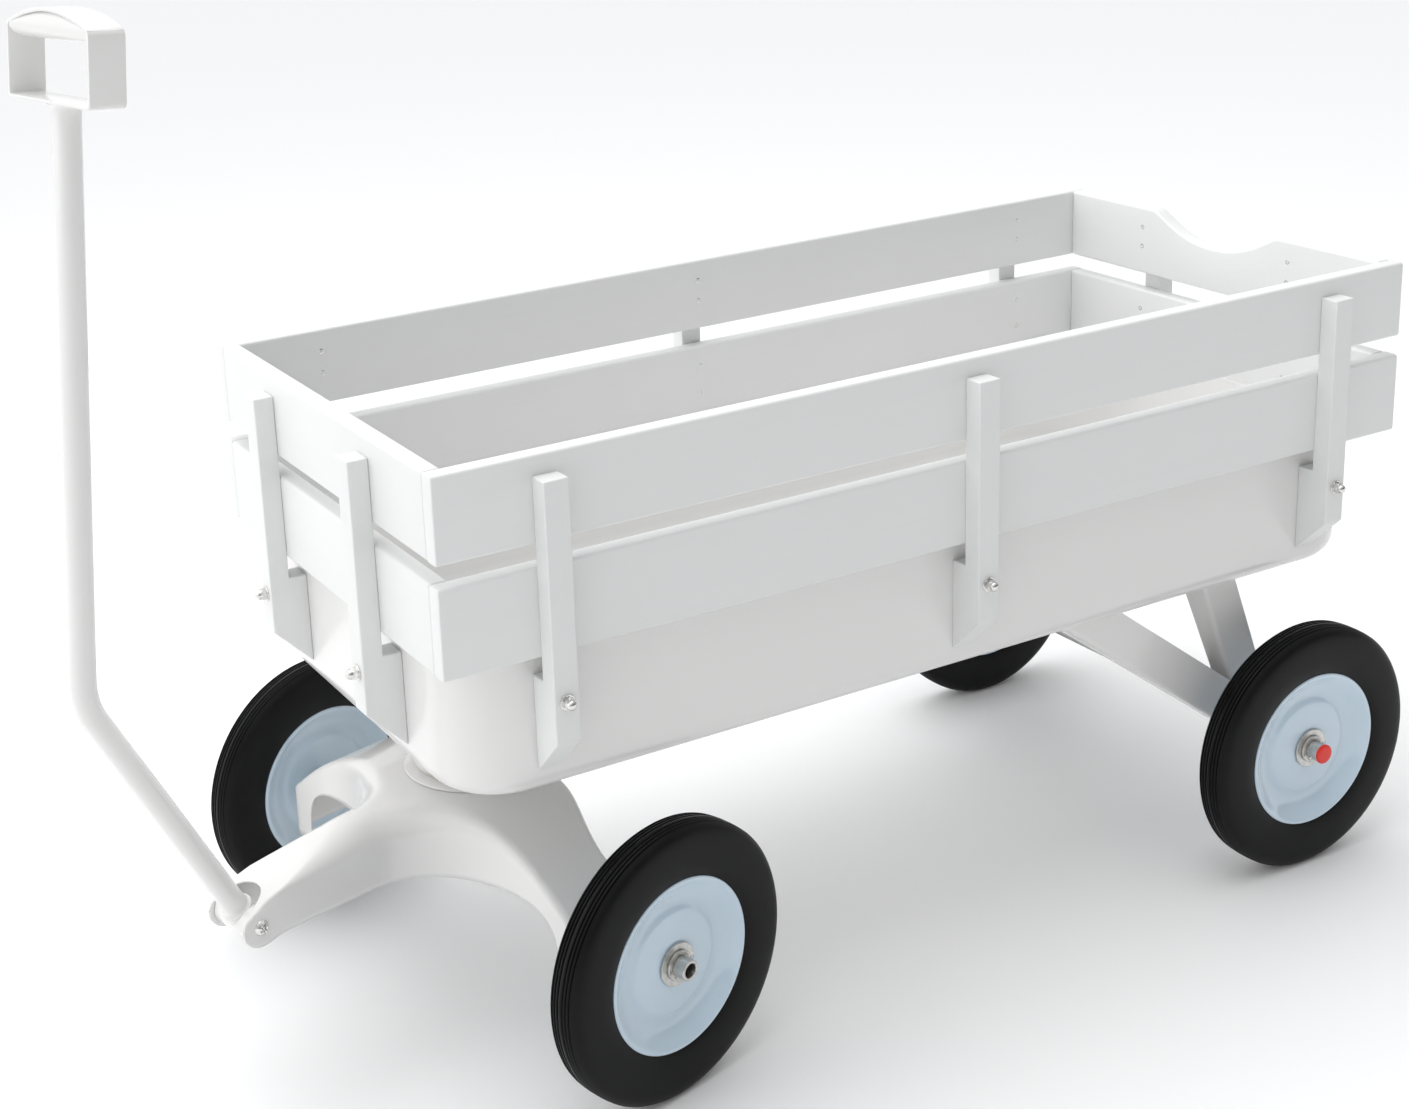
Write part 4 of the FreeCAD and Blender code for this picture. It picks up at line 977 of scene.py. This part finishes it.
def tyre_section():
    """Half the tyre's section from the bore over the flat sidewall and the round shoulder to
    the tread, with a V groove at each of three places, then the same mirrored."""
    half = [(0.0790, 0.0120), (0.0790, 0.0142), (0.0797, 0.0151), (0.0815, 0.0157), (0.0850, 0.0167),
            (0.0900, 0.0175), (0.0960, 0.0179), (0.1020, 0.0180), (0.1080, 0.0179), (0.1130, 0.0176),
            (0.1170, 0.0171), (0.1200, 0.0163), (0.1222, 0.0152), (0.1238, 0.0139), (0.1249, 0.0127),
            (0.1256, 0.0118)]
    for middle in (0.0098, 0.0062, 0.0026):
        crown = WHEEL_RADIUS - 0.0010 * (middle / 0.0118) ** 2
        half += [(crown - 0.0001, middle + 0.0013), (crown - 0.0004, middle + 0.0009),
                 (crown - 0.0019, middle + 0.0004), (crown - 0.0019, middle - 0.0004),
                 (crown - 0.0004, middle - 0.0009), (crown - 0.0001, middle - 0.0013)]
    return half + [(r, -h) for r, h in reversed(half)] + [half[0]]


def disc_section():
    """The dished disc from the tyre's seat over a rolled lip, down the dish to a ring step,
    and level to the hub, then back along the inner face of the sheet."""
    face = [(0.0797, 0.0150), (0.0795, 0.0158), (0.0786, 0.0163), (0.0774, 0.0163), (0.0762, 0.0157),
            (0.0745, 0.0146), (0.0715, 0.0120), (0.0680, 0.0093), (0.0640, 0.0068), (0.0600, 0.0050),
            (0.0565, 0.0041), (0.0535, 0.0039), (0.0512, 0.0043), (0.0490, 0.0054), (0.0472, 0.0065),
            (0.0450, 0.0072), (0.0400, 0.0078), (0.0300, 0.0088), (0.0200, 0.0098), (0.0140, 0.0098)]
    back = [(r - 0.0008 if r > 0.06 else r, h - 0.0021) for r, h in reversed(face)]
    return face + back + [(0.0775, 0.0003), (0.0797, 0.0003), face[0]]


tyre = spun(tyre_section(), 160)
disc = spun(disc_section(), 128)
hub = spun([(AXLE_RADIUS + 0.0001, -HUB_HALF), (0.0136, -HUB_HALF), (0.0140, -HUB_HALF + 0.0004),
            (0.0140, HUB_HALF - 0.0004), (0.0136, HUB_HALF), (AXLE_RADIUS + 0.0001, HUB_HALF),
            (AXLE_RADIUS + 0.0001, -HUB_HALF)], 48)
for end in ("front", "rear"):
    for side, sign in (("left", 1), ("right", -1)):
        body = f"{end}_{side}_wheel"
        middle = [0, 0, sign * TRACK_HALF]
        for part, sheets, metal, slot, sharp in (
                ("tyre", [tyre], rubber, "rubber", 42),
                ("discs", [disc, disc * [1, -1, -1]], blue_grey_enamel, "blue_grey_enamel", 50),
                ("hub", [hub], zinc_steel, "zinc_steel", 30)):
            sheets = [sheet + middle for sheet in sheets]
            piece = skin(f"{end}_{side}_{part}_turned", on_axle(sheets, end), metal, sharp=sharp)
            stands_for(piece, body, slot, f"{end}_{side}_{part}")

# ---- hinge ------------------------------------------------------------------------
# A cross-head pan screw passes through both ears and the handle's barrel, with a nut on
# the far side. Bright plated.
hinge_head = cross_head(0.0070, 0.0042, 0.0022, 0.0026, 96) + [0, 0, 0.0004]
hinge_shank = spun([(0, -0.0590), (0.0036, -0.0590), (0.0040, -0.0584), (0.0040, 0.0), (0, 0.0)], 32)
hinge_sheets = [aimed(sheet, (HINGE[0], EAR_HALF, HINGE[1]), (0, 1, 0), 0.5)
                for sheet in (hinge_head, hinge_shank)]
hinge_bolt = skin("hinge_screw", [steered(sheet) for sheet in hinge_sheets], bright_steel, sharp=30)
stands_for(hinge_bolt, "steering", "bright_steel", "hinge_bolt")
hinge_nut = spun([(0.0041, 0), (0.0066, 0), (0.0075, 0.0006), (0.0075, 0.0052), (0.0066, 0.0060),
                  (0.0046, 0.0060), (0.0041, 0.0055), (0.0041, 0)], 60, 0.013)
hinge_nut = steered(aimed(hinge_nut, (HINGE[0], -EAR_HALF, HINGE[1]), (0, -1, 0)))
hinge_nut_piece = skin("hinge_nut_turned", [hinge_nut], bright_steel, sharp=30)
stands_for(hinge_nut_piece, "steering", "bright_steel", "hinge_nut")

# ---- handle -----------------------------------------------------------------------
# A steel tube with one bend is welded to a barrel that turns on the hinge screw, and at
# its top to the grip: a flat band bent to a box with an arched top, and a rounded hand
# bar under the arch. All in white enamel; the welds are ground to soft fillets.
TUBE_RADIUS = 0.011
LOWER_SLOPE = math.radians(62.5)
UPPER_SLOPE = math.radians(95.5)
KNEE_REACH = 0.274
STEM = 0.472
BEND = 0.070
BARREL = (0.014, 0.0241)
GRIP = (0.118, 0.031, 0.057, 0.013)     # width, depth, height of the sides, rise of the arch
GRIP_BAND = 0.003


def handle_line():
    """The tube's middle line in its own plane, as places and slopes: straight, then an arc
    whose length is the bend's radius times the change of slope, then straight."""
    turn = UPPER_SLOPE - LOWER_SLOPE
    setback = BEND * math.tan(turn / 2)
    low_run = np.concatenate([np.linspace(0.006, 0.0165, 8), np.linspace(0.03, KNEE_REACH - setback, 12)])
    slopes = [np.full(len(low_run), LOWER_SLOPE)]
    steps = [low_run]
    arc = np.linspace(0, turn, 17)[1:]
    slopes.append(LOWER_SLOPE + arc)
    high_run = np.concatenate([np.linspace(setback, STEM - 0.012, 16)[1:],
                               STEM - np.linspace(0.011, 0.0, 12)])
    slopes.append(np.full(len(high_run), UPPER_SLOPE))
    down, up = [np.array([math.cos(tilt), math.sin(tilt)]) for tilt in (LOWER_SLOPE, UPPER_SLOPE)]
    start = np.array(HINGE)
    bend_at = start + down * (KNEE_REACH - setback)
    centre = bend_at + BEND * np.array([-down[1], down[0]])
    around = centre + BEND * np.stack([np.sin(LOWER_SLOPE + arc), -np.cos(LOWER_SLOPE + arc)], -1)
    knee_at = start + down * KNEE_REACH
    line = np.concatenate([start + low_run[:, None] * down, around, knee_at + high_run[:, None] * up])
    from_foot = np.concatenate([low_run, np.full(len(arc), 1.0), np.full(len(high_run), 1.0)])
    from_top = np.concatenate([np.full(len(low_run) + len(arc), 1.0), STEM - high_run])
    return line, np.concatenate(slopes), from_foot, from_top


def handle_tube():
    """A circle carried along the middle line; its radius swells by a falling exponential
    towards the barrel and towards the grip, which draws the weld fillets."""
    line, slope, from_foot, from_top = handle_line()
    radius = TUBE_RADIUS + 0.0030 * np.exp(-np.clip(from_foot - 0.0135, 0, 1) / 0.0016)
    radius = radius + 0.0042 * np.exp(-from_top / 0.0022)
    angle = np.linspace(0, 2 * math.pi, 49)
    out = radius[:, None] * np.cos(angle)
    side = radius[:, None] * np.sin(angle)
    return np.stack([line[:, :1] - out * np.sin(slope)[:, None], side,
                     line[:, 1:] + out * np.cos(slope)[:, None]], -1)


tube = handle_tube()
ends = [np.stack([ring, np.broadcast_to(ring.mean(0), ring.shape)]) for ring in (tube[0], tube[-1])]
tube_piece = skin("handle_tube_bent", [steered(sheet) for sheet in [tube] + ends], white_enamel, sharp=40)
stands_for(tube_piece, "handle", "white_enamel", "handle_tube")
barrel = spun([(0.0042, -BARREL[1]), (BARREL[0] - 0.0010, -BARREL[1]),
               (BARREL[0] - 0.0003, -BARREL[1] + 0.0003), (BARREL[0], -BARREL[1] + 0.0010),
               (BARREL[0], BARREL[1] - 0.0010), (BARREL[0] - 0.0003, BARREL[1] - 0.0003),
               (BARREL[0] - 0.0010, BARREL[1]), (0.0042, BARREL[1]), (0.0042, -BARREL[1])], 64)
barrel_piece = skin("handle_barrel_turned", [steered(aimed(barrel, (HINGE[0], 0, HINGE[1]), (0, 1, 0)))],
                    white_enamel, sharp=40)
stands_for(barrel_piece, "handle", "white_enamel", "handle_barrel")


def grip_loop(inset):
    """The band's outline seen from the front, drawn in by an inset: straight foot and sides,
    round corners, and a top that rises by a parabola."""
    half, height, rise = GRIP[0] / 2 - inset, GRIP[2] - inset, GRIP[3]
    corner = max(0.0045 - inset, 0.0015)
    quarter = np.linspace(0, math.pi / 2, 7)
    path = [(y, inset) for y in np.linspace(-half + corner, half - corner, 9)]
    path += [(half - corner + corner * math.sin(a), inset + corner - corner * math.cos(a))
             for a in quarter[1:]]
    path += [(half - corner + corner * math.cos(a), height - corner + corner * math.sin(a))
             for a in quarter]
    path += [(y, height) for y in np.linspace(half - corner, -half + corner, 33)[1:]]
    path += [(-half + corner - corner * math.sin(a), height - corner + corner * math.cos(a))
             for a in quarter[1:]]
    path += [(-half + corner - corner * math.cos(a), inset + corner - corner * math.sin(a))
             for a in quarter]
    path = np.array(path)
    arch = rise * np.clip(1 - (path[:, 0] / (GRIP[0] / 2)) ** 2, 0, 1)
    path[:, 1] += arch * np.clip((path[:, 1] - 0.02) / (height - 0.02), 0, 1) ** 8
    return path


def grip_band():
    """The flat strip: the band's edge, a rounded rectangle of depth by thickness, follows the
    outline; each corner of the edge is a short chamfer."""
    ease = 0.0008
    outer, inner = grip_loop(0.0), grip_loop(GRIP_BAND)
    half = GRIP[1] / 2
    rows = []
    for share, depth in ((0.0, half - ease), (0.08, half - 0.25 * ease), (0.25, half), (0.75, half),
                         (0.92, half - 0.25 * ease), (1.0, half - ease), (1.0, -half + ease),
                         (0.92, -half + 0.25 * ease), (0.75, -half), (0.25, -half),
                         (0.08, -half + 0.25 * ease), (0.0, -half + ease), (0.0, half - ease)):
        path = outer + share * (inner - outer)
        path = np.concatenate([path, path[:1]])
        rows.append(np.column_stack([np.full(len(path), depth), path]))
    return np.stack(rows)


def hand_bar():
    """The hand bar's section is a flattened oval: its underside is half an ellipse, its upper
    half follows the arch, and its ends run into the band's sides."""
    angle = np.linspace(0, 2 * math.pi, 49)
    middle = GRIP[2]
    rows = []
    for y in np.linspace(-GRIP[0] / 2 + 0.0015, GRIP[0] / 2 - 0.0015, 25):
        rise = GRIP[3] * (1 - (y / (GRIP[0] / 2)) ** 2)
        up, down = rise - 0.001, 0.011
        cosine, sine = np.cos(angle), np.sin(angle)
        x = (GRIP[1] / 2 - 0.0004) * np.sign(cosine) * abs(cosine) ** 0.75
        z = middle + np.where(sine > 0, up * np.sqrt(np.clip(sine, 0, 1)), down * sine)
        rows.append(np.column_stack([x, np.full(len(angle), y), z]))
    return np.stack(rows)


def on_stem(points):
    """Set points drawn with the stem's end at the origin on the top of the stem."""
    tilt = UPPER_SLOPE - math.pi / 2
    c, s = math.cos(tilt), math.sin(tilt)
    line = handle_line()[0]
    return np.stack([line[-1, 0] + c * points[..., 0] - s * points[..., 2], points[..., 1],
                     line[-1, 1] + s * points[..., 0] + c * points[..., 2]], -1)


bar = hand_bar()
bar_ends = [np.stack([ring, np.broadcast_to(ring.mean(0), ring.shape)]) for ring in (bar[0], bar[-1])]
grip = skin("hand_grip", [steered(on_stem(sheet)) for sheet in [grip_band(), bar] + bar_ends],
            white_enamel, sharp=40)
stands_for(grip, "handle", "white_enamel", "grip")

bpy.context.view_layer.update()
